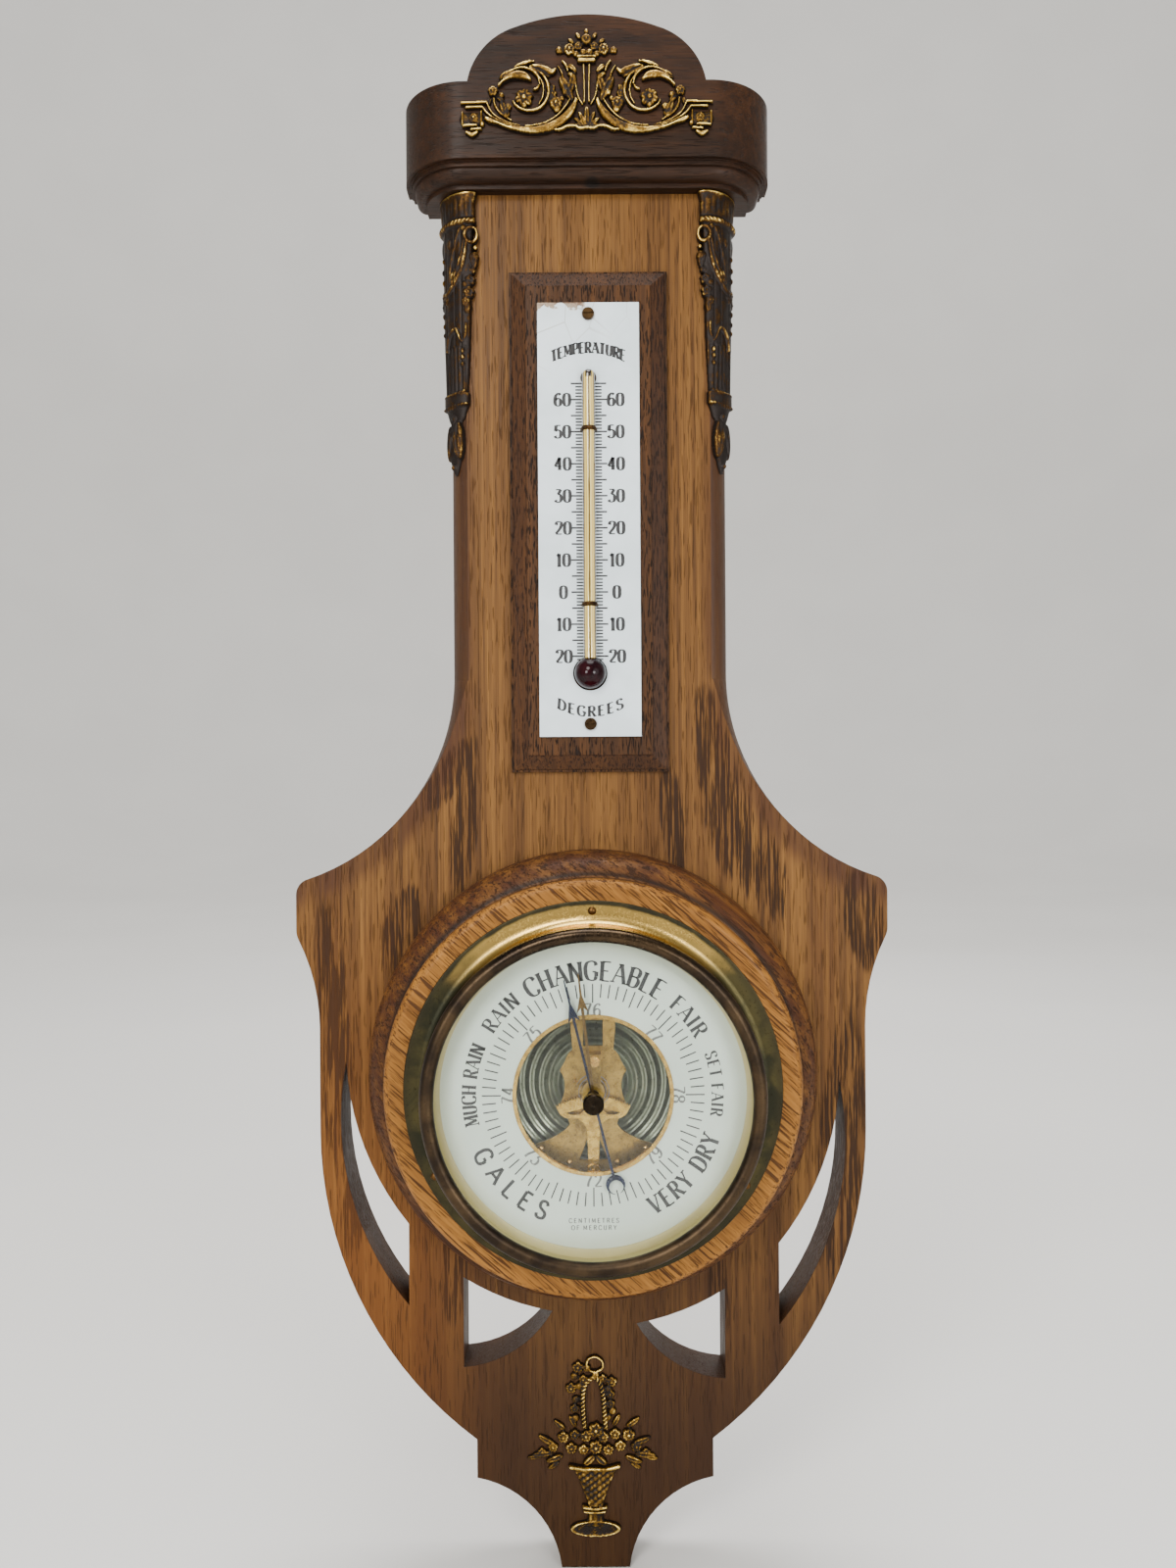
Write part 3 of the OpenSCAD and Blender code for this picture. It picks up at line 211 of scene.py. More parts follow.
def oak(name, along, light, mid, dark, pore, stain_and_shade=None, extra=None, rough=0.50, coat=0.03,
        pore_share=0.5, face_turn=(0.80, 0.97), turn=0, pore_long=1.1, pore_cut=0.575):
    """Waxed oak: year bands, open pores as short dark dashes along the grain, and edges darkened by staining
    and painted shade.
    along is the grain's direction as a scale for x, y and z: the small number is the long way.
    The dark colour given for the edges is laid on what turns away from the front, between the two values of
    face_turn: staining together with painted shade.
    turn leans the grain by some degrees in the face."""
    net = Net(name, Coat_Weight=coat, Coat_Roughness=0.2, Specular_IOR_Level=0.15)
    place = net.place()
    if turn:
        turned = net.node("Mapping", place)
        turned.inputs["Rotation"].default_value = (0, math.radians(turn), 0)
        place = net.out(turned)
    sx, sy, sz = along
    band_place = net.stretch(place, 42 * sx, 42 * sy, 42 * sz)
    bands = net.noise(band_place, 1.0, 4, 0.62, 0.6)
    lines = net.noise(net.stretch(place, 620 * sx, 620 * sy, 620 * sz * 0.4), 1.0, 2, 0.6, 0.1)
    fine = net.noise(net.stretch(place, 1500 * sx, 1500 * sy, 1500 * sz), 1.0, 2, 0.6, 0.2)
    wide = net.noise(net.stretch(place, 11 * sx, 11 * sy, 11 * sz), 1.0, 2, 0.5, 0.3)
    year = net.node("TexWave", net.stretch(place, sx, sy, sz), wave_type="BANDS",
                    bands_direction="X", wave_profile="SAW")
    for key, number in (("Scale", 22.0), ("Distortion", 5.0), ("Detail", 2.0), ("Detail Scale", 1.6)):
        year.inputs[key].default_value = number
    ring = net.out(year, "Fac")
    blend = bands * 0.36 + (lines * 0.36 + fine * 0.28)
    colour = net.ramp(blend, (0.385, dark), (0.49, mid), (0.60, light))
    colour = net.mix(net.step(ring, 0.50, 1.0) * 0.27, colour, dark)
    colour = net.mix(net.step(wide, 0.48, 0.66) * 0.35, colour, mid)
    # Pores crowd in the dark part of each year band
    pores = net.noise(net.stretch(place, 1900 * sx, 1900 * sy, 1900 * sz * pore_long), 1.0, 1.5, 0.5)
    crowd = ring * 0.05 + bands * -0.09
    mask = net.step(pores + crowd, pore_cut, pore_cut + 0.065)
    if extra:
        colour, mask = extra(net, colour, mask, place)
    colour = net.mix(mask * pore_share, colour, pore)
    # Painted shade together with dark staining on what turns away from the front.
    if stain_and_shade:
        turned = net.math("ABSOLUTE", net.split(net.normal())[1])
        edge = net.fall(turned, face_turn[0], face_turn[1])
        uneven = net.uneven(place, 70, 14, 0.62, 0.70)
        colour = net.mix(edge * uneven, colour, net.mix(blend * 0.7, stain_and_shade, dark))
        rounded_part = edge * net.step(turned, 0.10, 0.40)
        net.set("Coat Weight", net.step(rounded_part, 0, 1, coat, 0.40))
    net.set("Base Color", colour)
    net.set("Roughness", mask * 0.2 + net.step(fine, 0.3, 0.7, rough - 0.06, rough + 0.08))
    height = fine * 0.35 - mask
    net.set("Normal", net.bump(height, 0.00022, 0.8, net.soft_edge(0.5)))
    return net.material


def patch(net, place, x, z, half_x, half_z, lean=0.0):
    """One soft-edged oval on the board's face, centred at x, z in millimetres."""
    px, _, pz = net.split(place)
    up = pz - z * MM
    across = px - x * MM - up * lean
    a = net.math("POWER", across * (1 / (half_x * MM)), 2.0)
    b = net.math("POWER", up * (1 / (half_z * MM)), 2.0)
    return net.fall(a + b, 0.2, 1.1)


def board_marks(net, colour, mask, place):
    """The board's dark open-grained streaks; its edges darkened by staining and painted shade; painted shade
    in streaks over its lower part, deepening over its foot; and painted light, warmer in hue, on its lower
    left.
    """
    streaks = None
    for x, z, half_x, half_z, lean in BOARD_STREAKS:
        one = patch(net, place, x, z, half_x, half_z, lean)
        streaks = one if streaks is None else net.math("MAXIMUM", streaks, one)
    long_pores = net.noise(net.stretch(place, 1150, 1150, 42), 1.0, 3, 0.62, 0.15)
    open_grain = net.step(long_pores + streaks * 0.11, 0.545, 0.64)
    open_grain = open_grain * net.step(streaks, 0.05, 0.6)
    colour = net.mix(open_grain * 0.90, colour, tint(36, 20, 10))
    px, _, pz = net.split(place)
    # Painted shade: darker streaks over the lower part of the board.
    low_band = net.noise(net.stretch(place, 95, 95, 3.2), 1.0, 3, 0.6, 0.2)
    lower = net.step(pz, -0.33, -0.22, 1.0, 0.25)
    shadow = net.step(low_band, 0.46, 0.66) * (lower * 0.55)
    colour = net.mix(shadow, colour, tint(66, 37, 14))
    # Painted shade, deepening over the foot.
    foot = net.fall(pz, -0.490, -0.355)
    colour = net.mix(foot * 0.88, colour, net.mix(open_grain, tint(42, 24, 11), tint(24, 13, 6)))
    # Painted light, warmer in hue, on the lower left of the board.
    low = net.fall(pz, -0.42, -0.25)
    painted_warm_light = net.fall(px, -0.085, -0.03) * low
    colour = net.mix(painted_warm_light * 0.30, colour, tint(134, 76, 20))
    # Staining with painted shade runs in from the rounded edge of the neck, and of the flare that curves out
    # below it
    curve_x, curve_below = 0.051 + 0.0785, 0.196
    neck_end = (-0.205, -0.192)
    side = net.math("ABSOLUTE", px)
    neck = net.step(side, 0.0405, 0.0462) * net.step(pz, -0.203, neck_end[1])
    off_x = side - curve_x
    off_z = net.math("MINIMUM", pz + curve_below, 0.0)
    flare = net.fall(net.length(off_x, off_z), 0.0825, 0.0905) * net.fall(pz, *neck_end)
    uneven = net.uneven(place, 160, 12, 0.66, 0.45)
    outline_stain_and_shade = net.math("MAXIMUM", neck, flare) * uneven
    colour = net.mix(outline_stain_and_shade * 0.82, colour, tint(56, 29, 15))
    return colour, net.math("MAXIMUM", mask, open_grain * 0.8)


BOARD_STREAKS = [
    (47, -236, 9, 42, -0.14), (60, -262, 12, 30, -0.35), (101, -287, 9, 22, -0.12),
    (-47, -252, 6, 30, 0.10), (-52, -232, 8, 16, 0.55), (-70, -290, 9, 20, 0.2),
    (-96, -330, 8, 60, -0.05), (92, -370, 10, 60, 0.06), (-52, -415, 6, 26, 0.0),
    (46, -425, 5, 22, 0.0), (-88, -392, 6, 22, 0.1), (30, -250, 5, 30, -0.1),
]


def head_marks(net, colour, mask, place):
    """A small knot under the scroll ornament."""
    knot = patch(net, place, 1.8, -16.3, 3.2, 1.7)
    return net.mix(knot * 0.85, colour, tint(10, 6, 4)), mask


def surround_marks(net, colour, mask, place):
    """Long dark pores across the flat ring; the turned rim outside it darker, with painted shade towards the
    back where it meets the board; and a painted shade line in the groove between ring and rim.
    """
    _, py, _ = net.split(net.place())
    _, reach = net.from_dial()
    long_pores = net.noise(net.stretch(place, 900, 900, 34), 1.0, 3, 0.6, 0.2)
    streak = net.step(long_pores, 0.552, 0.610)
    colour = net.mix(streak * 0.72, colour, tint(58, 32, 12))
    # Painted shade towards the back, where the turned rim meets the board; the rim itself is darker all
    # round.
    back = net.step(py, -0.0455, -0.0425)
    rim = net.math("MAXIMUM", net.step(reach, 0.0722, 0.0738), back * 0.9)
    uneven = net.uneven(place, 240, 14, 0.66, 0.62)
    colour = net.mix(rim * uneven, colour, net.mix(streak, tint(62, 34, 17), tint(34, 18, 9)))
    # Painted shade: a dark line in the groove between the flat ring and the turned rim.
    painted_crease_shade = net.step(reach, 0.0728, 0.0736) * net.fall(reach, 0.0738, 0.0756)
    colour = net.mix(painted_crease_shade * 0.8, colour, tint(22, 12, 6))
    return colour, net.math("MAXIMUM", mask, streak * 0.7)


def metal(name, bright, dull, grime, worn=0.5, rough=0.32, scale=1.0, grain=0.00005, brushed=None):
    """Worn metal: bright and dull patches, grime in between, and fine scratches as bump."""
    net = Net(name, Metallic=1.0)
    place = net.place()
    clouds = net.noise(place, 140 * scale, 4, 0.62, 0.3)
    spots = net.noise(place, 900 * scale, 3, 0.6)
    share = net.step(clouds * 0.8 + spots * 0.2, worn - 0.12, worn + 0.14)
    colour = net.mix(share, bright, dull)
    colour = net.mix(net.step(spots, 0.60, 0.72, 0.0, 0.8), colour, grime)
    net.set("Base Color", colour)
    dulled = net.step(clouds, 0.3, 0.7, rough - 0.06, rough + 0.14)
    net.set("Roughness", dulled + net.step(spots, 0.55, 0.75, 0.0, 0.15))
    if brushed:
        lines = net.noise(net.stretch(place, *brushed), 1.0, 2, 0.6)
        spots = spots * 0.3 + lines
    net.set("Normal", net.bump(spots, grain, 0.7, net.soft_edge(0.15)))
    return net.material


def relief_metal(name, bright, gilt, dark, low, high):
    """Pressed brass whose raised parts are rubbed bright and whose hollows are dark."""
    net = Net(name, Metallic=1.0)
    lift = net.out(net.node("Attribute", attribute_name="lift"), "Fac")
    place = net.place()
    clouds = net.noise(place, 220, 4, 0.65, 0.2)
    spots = net.noise(place, 1500, 3, 0.6)
    value = lift + (net.step(clouds, 0.25, 0.75, -0.22, 0.16) + net.step(spots, 0.3, 0.7, -0.10, 0.06))
    colour = net.ramp(value, (low, dark), ((low + high) / 2, gilt), (high, bright))
    net.set("Base Color", colour)
    net.set("Roughness", net.step(value, low, high, 0.54, 0.3))
    net.set("Metallic", net.step(value, low - 0.1, low + 0.15, 0.55, 1.0))
    net.set("Normal", net.bump(spots + clouds * 0.5, 0.00006, 0.6))
    return net.material


def glass(name, colour, share):
    """Clear glass: it lets everything through and mirrors a little more towards its edges."""
    net = Net(name, IOR=1.5, Metallic=1.0)
    smear = net.noise(net.place(), 30, 4, 0.6, 0.5)
    net.set("Base Color", net.mix(net.step(smear, 0.4, 0.7, 0.0, 0.3), colour, tint(200, 204, 196)))
    net.set("Roughness", net.step(smear, 0.4, 0.8, 0.015, 0.075))
    mirror = net.out(net.node("Fresnel", 1.45))
    net.set("Alpha", mirror * share + net.step(smear, 0.5, 0.8, 0.0, 0.012))
    return net.material


def enamel():
    """White enamel on iron, chipped along its upper left edge, with rust round the screws."""
    net = Net("enamel_white", Coat_Weight=0.6, Coat_Roughness=0.05)
    place = net.place()
    px, py, pz = net.split(place)
    fog = net.noise(place, 55, 3, 0.55)
    colour = net.mix(net.step(fog, 0.35, 0.7), tint(222, 233, 238), tint(210, 222, 226))
    x_mm, z_mm = px * 1000.0, pz * 1000.0
    jagged = net.noise(net.stretch(place, 260, 0, 260), 1.0, 3, 0.6)
    # Distances below the plate's top edge and from its left edge, in millimetres
    edge_below, edge_left = 60.1, 18.6
    top = (z_mm + edge_below) * -1.0
    from_left = x_mm + edge_left
    edge_limit = net.step(jagged, 0.3, 0.7, -0.1, 2.4) + net.step(from_left, 8.0, 17.0, 0.0, 0.5)
    chip_top = net.step(edge_limit - top, -0.1, 0.15) * net.fall(from_left, 16.5, 18.2)
    slanted = top + from_left * 1.1 + jagged * 5.0
    corner = net.fall(slanted, 5.4, 5.9)
    chip = net.math("MAXIMUM", chip_top, corner)
    bare = net.mix(net.step(jagged, 0.4, 0.6), tint(112, 84, 62), tint(160, 140, 118))
    rim = net.step(edge_limit + 0.5 - top, 0.0, 0.3)
    rim = rim * net.fall(from_left, 16.5, 19.0) * 0.35
    colour = net.mix(rim, colour, tint(196, 176, 148))
    colour = net.mix(chip, colour, bare)
    halo = None
    for z in SCREW_Z + [TUBE_HOLE_Z]:
        away = net.math("SQRT", net.math("POWER", x_mm, 2.0) + net.math("POWER", z_mm - z, 2.0))
        ring = net.fall(away + fog * 1.6, 2.2, 3.6)
        halo = ring if halo is None else net.math("MAXIMUM", halo, ring)
    colour = net.mix(halo * 0.7, colour, tint(150, 104, 48))
    side = net.step(py, -0.02397, -0.0237)
    colour = net.mix(side, colour, tint(108, 98, 86))
    cracks = net.cracks(net.stretch(place, 95, 95, 60))
    near = net.fall(top + from_left * 0.6, 8.0, 34.0)
    hair = net.fall(cracks, 0.004, 0.02) * near
    colour = net.mix(hair * 0.5, colour, tint(140, 134, 120))
    net.set("Base Color", colour)
    net.set("Roughness", net.step(chip, 0, 1, 0.16, 0.7))
    wavy = net.noise(place, 70, 2, 0.4)
    height = wavy * 0.5 - chip
    net.set("Normal", net.bump(height, 0.00035, 0.8, net.soft_edge(0.4)))
    return net.material


def card(name, light, shade, yellow, rough=0.5, coat=0.0):
    """Dial or card surface: clean, slightly yellowed towards its edge."""
    net = Net(name, Roughness=rough, Coat_Weight=coat)
    _, reach = net.from_dial()
    fog = net.noise(net.place(), 40, 4, 0.6)
    colour = net.mix(net.step(fog, 0.3, 0.7), light, shade)
    outer = net.step(reach + fog * 0.006, 0.047, 0.058, 0.0, 0.5)
    colour = net.mix(outer, colour, yellow)
    net.set("Base Color", colour)
    net.set("Normal", net.bump(net.noise(net.place(), 2500, 2, 0.6), 0.00001, 0.5))
    return net.material


def bezel_metal():
    """Brass rim: grey-green tarnish, with a painted highlight in bright golden brass on the upper inner
    flange, and a dark bead.
    """
    net = Net("bezel_brass", Metallic=1.0)
    place = net.place()
    _, py, _ = net.split(place)
    up, reach = net.from_dial()
    clouds = net.noise(place, 75, 4, 0.6, 0.4)
    spots = net.noise(place, 1100, 3, 0.6)
    # Painted highlight: a bright golden band only on the upper inner part of the flange.
    high = net.step(up + clouds * 0.02, 0.045, 0.068)
    inner = net.fall(reach + clouds * 0.002, 0.0640, 0.0655)
    painted_top_highlight = high * inner
    patina = net.mix(net.step(clouds, 0.35, 0.62), tint(72, 66, 42), tint(44, 44, 34))
    patina = net.mix(net.step(reach, 0.0620, 0.0650, 0.0, 0.6), patina, tint(52, 48, 36))
    colour = net.mix(painted_top_highlight, patina, tint(208, 172, 92))
    bead = net.fall(py, -0.0535, -0.0520)
    bronze = net.mix(net.step(clouds, 0.3, 0.65), tint(72, 58, 42), tint(42, 35, 29))
    colour = net.mix(bead, colour, bronze)
    colour = net.mix(net.step(spots, 0.60, 0.74, 0.0, 0.6), colour, tint(36, 30, 22))
    net.set("Base Color", colour)
    net.set("Roughness", net.step(painted_top_highlight, 0, 1, 0.42, 0.24) + net.step(spots, 0.5, 0.75, 0.0, 0.2))
    net.set("Normal", net.bump(spots, 0.00005, 0.6, net.soft_edge(0.2)))
    return net.material


def tube_material():
    """Thermometer stem: pale glass with a golden backing and a thin dark bore, with painted highlights as
    bright stripes and painted shade towards its sides.
    """
    net = Net("tube_glass", Roughness=0.06, Coat_Weight=1.0, Coat_Roughness=0.03, IOR=1.5)
    px, py, pz = net.split(net.place())
    radius = 2.3
    across = net.math("ABSOLUTE", px * (1 / (radius * MM)))
    uneven = net.noise(net.stretch(net.place(), 200, 200, 40), 1.0, 3, 0.6)
    # Across the stem: the dark bore in the middle, painted highlights as bright stripes either side, and
    # painted shade darkening its sides.
    colour = net.ramp(across + net.step(uneven, 0.3, 0.7, -0.05, 0.05),
                      (0.09, tint(88, 66, 28)), (0.20, tint(234, 216, 132)), (0.44, tint(186, 152, 62)),
                      (0.66, tint(224, 202, 120)), (0.80, tint(118, 90, 38)), (0.93, tint(54, 42, 22)))
    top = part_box("thermometer_tube")[1].z
    slot = net.step(pz, top - 0.0036, top - 0.0030) * net.fall(across, 0.40, 0.62)
    colour = net.mix(slot, colour, tint(34, 26, 14))
    net.set("Base Color", colour)
    net.set("Normal", net.bump(uneven, 0.00005, 0.4))
    return net.material


# Oak: the material's name, the grain's direction, and the light, mid, dark and pore colours
UPRIGHT = (1.0, 1.0, 0.05)
LYING = (0.05, 1.0, 1.0)
OAKS = {
    "oak": ("oak_board", (1.0, 1.0, 0.020), (124, 86, 40), (98, 65, 28), (68, 43, 18), (40, 24, 11),
            dict(stain_and_shade=tint(46, 25, 15), extra=board_marks, pore_long=2.4, face_turn=(0.945, 0.9990))),
    "stained_oak": ("oak_head", LYING, (56, 32, 14), (38, 21, 9), (24, 13, 6), (14, 8, 5),
                    dict(extra=head_marks, coat=0.05)),
    "panel_oak": ("oak_panel", UPRIGHT, (84, 52, 22), (62, 37, 15), (38, 22, 9), (18, 10, 6),
                  dict(stain_and_shade=tint(54, 27, 14), pore_share=0.9, pore_long=2.6, pore_cut=0.535,
                       face_turn=(0.80, 0.985))),
    "turned_oak": ("oak_ring", UPRIGHT, (150, 102, 44), (132, 87, 34), (104, 66, 24), (48, 27, 11),
                   dict(extra=surround_marks, pore_share=0.7, turn=48)),
}
# Metals: bright, dull and grime colours
METALS = {
    "plate_brass": ((168, 136, 76), (140, 112, 60), (96, 76, 44), dict(scale=0.4)),
    "plain_steel": ((168, 166, 160), (128, 124, 116), (90, 74, 60), {}),
    "dark_screw": ((62, 46, 28), (38, 28, 19), (18, 13, 10), dict(rough=0.45)),
    "tie_wire": ((84, 60, 34), (50, 36, 22), (26, 18, 12), dict(rough=0.4, scale=2)),
    "pin_brass": ((96, 68, 36), (60, 42, 26), (30, 22, 16), dict(rough=0.4, scale=3)),
    "rim_brass": ((218, 184, 98), (168, 134, 64), (100, 76, 38), dict(rough=0.22, scale=2)),
    "case_brass": ((158, 130, 76), (138, 112, 62), (104, 84, 48), dict(scale=0.3)),
    "zinc_plate": ((96, 90, 66), (66, 60, 44), (36, 32, 24), dict(rough=0.45)),
    "nickel": ((150, 158, 136), (122, 130, 108), (84, 86, 66), dict(rough=0.40, worn=0.55, grain=0.00001)),
    "movement_brass": ((176, 146, 74), (118, 94, 44), (60, 46, 22),
                       dict(rough=0.34, scale=1.6, worn=0.52, brushed=(60, 60, 2600))),
    "screw_brass": ((232, 192, 112), (196, 152, 76), (120, 88, 44), dict(rough=0.24, scale=3)),
    "movement_steel": ((196, 192, 180), (140, 134, 122), (86, 76, 62), dict(rough=0.25, scale=3)),
    "sector_brass": ((214, 180, 88), (168, 134, 58), (96, 72, 32), dict(rough=0.24, scale=3)),
    "spring_steel": ((150, 150, 156), (100, 100, 110), (70, 60, 60), dict(rough=0.3, scale=4)),
    "blued_steel": ((44, 52, 76), (30, 34, 52), (24, 22, 28), dict(rough=0.26, scale=3)),
    "hand_brass": ((118, 94, 50), (84, 66, 36), (44, 34, 22), dict(rough=0.32, scale=3)),
    "knob_brass": ((40, 33, 25), (24, 20, 16), (12, 10, 9), dict(rough=0.30, scale=3)),
}


def spotted(name, spots, colour, other, ends=None, **shader):
    """A plain material in two colours, in soft spots of the given scale, detail and roughness.
    ends are the two values between which one colour turns into the other."""
    net = Net(name, **shader)
    share = net.noise(net.place(), *spots)
    if ends:
        share = net.step(share, *ends)
    net.set("Base Color", net.mix(share, colour, other))
    return net.material


def make_materials():
    """One finished material for each of the record's slots."""
    made = {}
    for slot, (name, along, light, mid, dark, pore, settings) in OAKS.items():
        made[slot] = oak(name, along, tint(*light), tint(*mid), tint(*dark), tint(*pore), **settings)
    for slot, (bright, dull, grime, settings) in METALS.items():
        made[slot] = metal(slot, tint(*bright), tint(*dull), tint(*grime), **settings)
    made["gilt_brass"] = relief_metal("gilt_brass", tint(246, 212, 116), tint(128, 96, 42), tint(26, 17, 11),
                                      0.42, 0.93)
    made["worn_brass"] = relief_metal("worn_brass", tint(232, 194, 104), tint(88, 62, 32), tint(26, 17, 12),
                                      0.46, 0.95)
    made["enamel"] = enamel()
    made["tube_glass"] = tube_material()
    made["bulb_glass"] = spotted("bulb_glass", (160, 2, 0.5), tint(38, 8, 14), tint(22, 5, 9), (0.35, 0.65),
                                 Roughness=0.10, Coat_Weight=0.10, Coat_Roughness=0.03, IOR=1.22)
    made["red_spirit"] = spotted("red_spirit", (300, 2, 0.5), tint(120, 20, 22), tint(84, 14, 18),
                                 Roughness=0.2)
    made["bezel_brass"] = bezel_metal()
    made["clear_glass"] = glass("clear_glass", tint(235, 240, 238), 0.8)
    made["cream_card"] = card("cream_card", tint(214, 206, 150), tint(196, 186, 126), tint(160, 144, 90))
    made["white_dial"] = card("white_dial", tint(208, 221, 208), tint(198, 212, 198), tint(190, 192, 158),
                              rough=0.42, coat=0.1)
    return made


MATERIALS = make_materials()
for name, cad_object in frame["nodes"].items():
    cad_object.data.materials.clear()
    cad_object.data.materials.append(MATERIALS[SLOT_OF[name]])


# Pieces

def link(made):
    bpy.context.scene.collection.objects.link(made)
    return made


def make_mesh(name, points, faces, material, smooth=True):
    mesh = bpy.data.meshes.new(name)
    mesh.from_pydata(points, [], faces)
    mesh.materials.append(material)
    mesh.polygons.foreach_set("use_smooth", [smooth] * len(mesh.polygons))
    mesh.update()
    return link(bpy.data.objects.new(name, mesh))


def make_piece(name, points, faces, material, slot, smooth=True, lift=None):
    """A mesh from points in millimetres, given as x, f (distance from the back) and z."""
    points = np.asarray(points, float)
    placed = np.column_stack([points[:, 0], -points[:, 1], points[:, 2]]) * MM
    faces = [tuple(int(i) for i in face) for face in faces]
    piece = make_mesh(name, placed.tolist(), faces, material, smooth)
    if lift is not None:
        raised = piece.data.attributes.new("lift", "FLOAT", "POINT")
        raised.data.foreach_set("value", np.asarray(lift, np.float32))
    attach(piece, "case")
    return piece


class Marks:
    """Printed marks: thin raised strips, gathered in one mesh. f is the face they are printed on."""

    thick, sunk = 0.02, 0.005

    def __init__(self, f):
        self.f = f
        self.points, self.faces = [], []

    def strip(self, path, widths):
        """A ribbon along path (pairs of x, z) with the given full widths."""
        path = np.asarray(path, float)
        ahead = np.gradient(path, axis=0)
        length = np.hypot(ahead[:, 0], ahead[:, 1])[:, None]
        side = np.column_stack([-ahead[:, 1], ahead[:, 0]]) / np.maximum(length, 1e-9)
        half = np.asarray(widths, float)[:, None] / 2
        left, right = path + side * half, path - side * half
        start = len(self.points)
        for a, b in zip(left, right):
            for x, z in (a, b):
                self.points.append((x, self.f + self.thick, z))
            for x, z in (a, b):
                self.points.append((x, self.f - self.sunk, z))
        for i in range(len(path) - 1):
            k, n = start + 4 * i, start + 4 * (i + 1)
            self.faces += [(k, k + 1, n + 1, n), (k, n, n + 2, k + 2), (k + 1, k + 3, n + 3, n + 1)]
        last = start + 4 * (len(path) - 1)
        self.faces += [(start, start + 2, start + 3, start + 1), (last, last + 1, last + 3, last + 2)]

    def line(self, x0, z0, x1, z1, width):
        self.strip([(x0, z0), (x1, z1)], [width, width])

    def build(self, name, material, slot):
        return make_piece(name, self.points, self.faces, material, slot, smooth=False)


# Letters as pen strokes on a box one unit high

def read_glyphs(text):
    """Letters by name. Each has its width and its strokes: L is straight and C is a curve."""
    found = {}
    for row in text.split(";"):
        letter, width, *words = row.split()
        strokes = []
        for word in words:
            if word in "LC":
                strokes.append((word, []))
            else:
                strokes[-1][1].append([float(number) for number in word.split(",")])
        found[letter] = (float(width), strokes)
    return found


GLYPHS = read_glyphs("""
A .78 L 0,0 .39,1 L .39,1 .78,0 L .14,.36 .64,.36;
B .66 L .1,0 .1,1 C .1,1 .42,1 .58,.86 .56,.62 .38,.54 .1,.54 C .1,.54 .44,.54 .64,.4 .62,.14 .44,0 .1,0;
C .72 C .68,.76 .6,.94 .4,1 .16,.92 .04,.68 .04,.5 .05,.3 .18,.07 .42,0 .6,.05 .69,.24;
D .74 L .1,0 .1,1 C .1,1 .42,.98 .66,.78 .7,.5 .64,.2 .42,.02 .1,0;
E .62 L .1,0 .1,1 L .1,1 .58,1 L .1,.52 .48,.52 L .1,0 .6,0;
F .6 L .1,0 .1,1 L .1,1 .58,1 L .1,.52 .48,.52;
G .76 C .68,.78 .6,.94 .4,1 .16,.92 .04,.68 .04,.5 .05,.3 .18,.07 .42,0 .6,.04 .7,.2 L .7,.2 .7,.45 L .7,.45
  .46,.45;
H .76 L .1,0 .1,1 L .66,0 .66,1 L .1,.52 .66,.52;
I .26 L .13,0 .13,1;
L .6 L .1,0 .1,1 L .1,0 .58,0;
M .92 L .08,0 .14,1 L .14,1 .46,.12 L .46,.12 .78,1 L .78,1 .84,0;
N .78 L .1,0 .1,1 L .1,1 .68,0 L .68,0 .68,1;
O .78 C .39,1 .15,.92 .04,.68 .04,.5 .04,.32 .15,.08 .39,0 .63,.08 .74,.32 .74,.5 .74,.68 .63,.92 .39,1;
P .64 L .1,0 .1,1 C .1,1 .42,1 .6,.86 .6,.6 .42,.46 .1,.46;
R .7 L .1,0 .1,1 C .1,1 .42,1 .58,.88 .58,.64 .42,.52 .1,.52 L .34,.52 .66,0;
S .62 C .55,.8 .46,.96 .3,1 .12,.94 .07,.76 .14,.6 .32,.5 .5,.4 .57,.24 .5,.06 .3,0 .12,.05 .05,.22;
T .66 L .33,0 .33,1 L .03,1 .63,1;
U .74 C .1,1 .1,.6 .1,.3 .18,.07 .37,0 .56,.07 .64,.3 .64,.6 .64,1;
V .74 L .03,1 .37,0 L .37,0 .71,1;
Y .72 L .04,1 .36,.48 L .68,1 .36,.48 L .36,.48 .36,0;
0 .66 C .33,1 .15,.92 .07,.7 .07,.5 .07,.3 .15,.08 .33,0 .51,.08 .59,.3 .59,.5 .59,.7 .51,.92 .33,1;
1 .44 L .26,0 .26,1 L .26,1 .06,.8 L .08,0 .44,0;
2 .64 C .1,.74 .16,.94 .34,1 .54,.94 .58,.74 .48,.5 .26,.24 .07,.04 L .07,.02 .6,.02;
3 .62 L .1,1 .54,1 L .54,1 .28,.6 C .28,.6 .48,.58 .58,.34 .5,.08 .3,0 .12,.05 .06,.18;
4 .66 L .46,0 .46,1 L .46,1 .06,.3 L .06,.3 .64,.3;
5 .62 L .14,1 .54,1 L .14,1 .1,.55 C .1,.55 .3,.64 .52,.54 .58,.32 .5,.08 .3,0 .12,.05 .06,.18;
6 .64 C .54,.86 .44,.99 .3,.96 .12,.76 .07,.4 .12,.12 .32,0 .52,.08 .58,.3 .52,.52 .32,.6 .12,.46;
7 .6 L .06,1 .56,1 C .56,1 .4,.66 .26,.34 .22,0;
8 .64 C .32,.54 .12,.66 .12,.88 .32,1 .52,.88 .52,.66 .32,.54 .08,.4 .07,.14 .32,0 .57,.14 .56,.4 .32,.54;
9 .64 C .1,.14 .2,.01 .34,.04 .52,.24 .57,.6 .52,.88 .32,1 .12,.92 .06,.7 .12,.48 .32,.4 .52,.54
""")


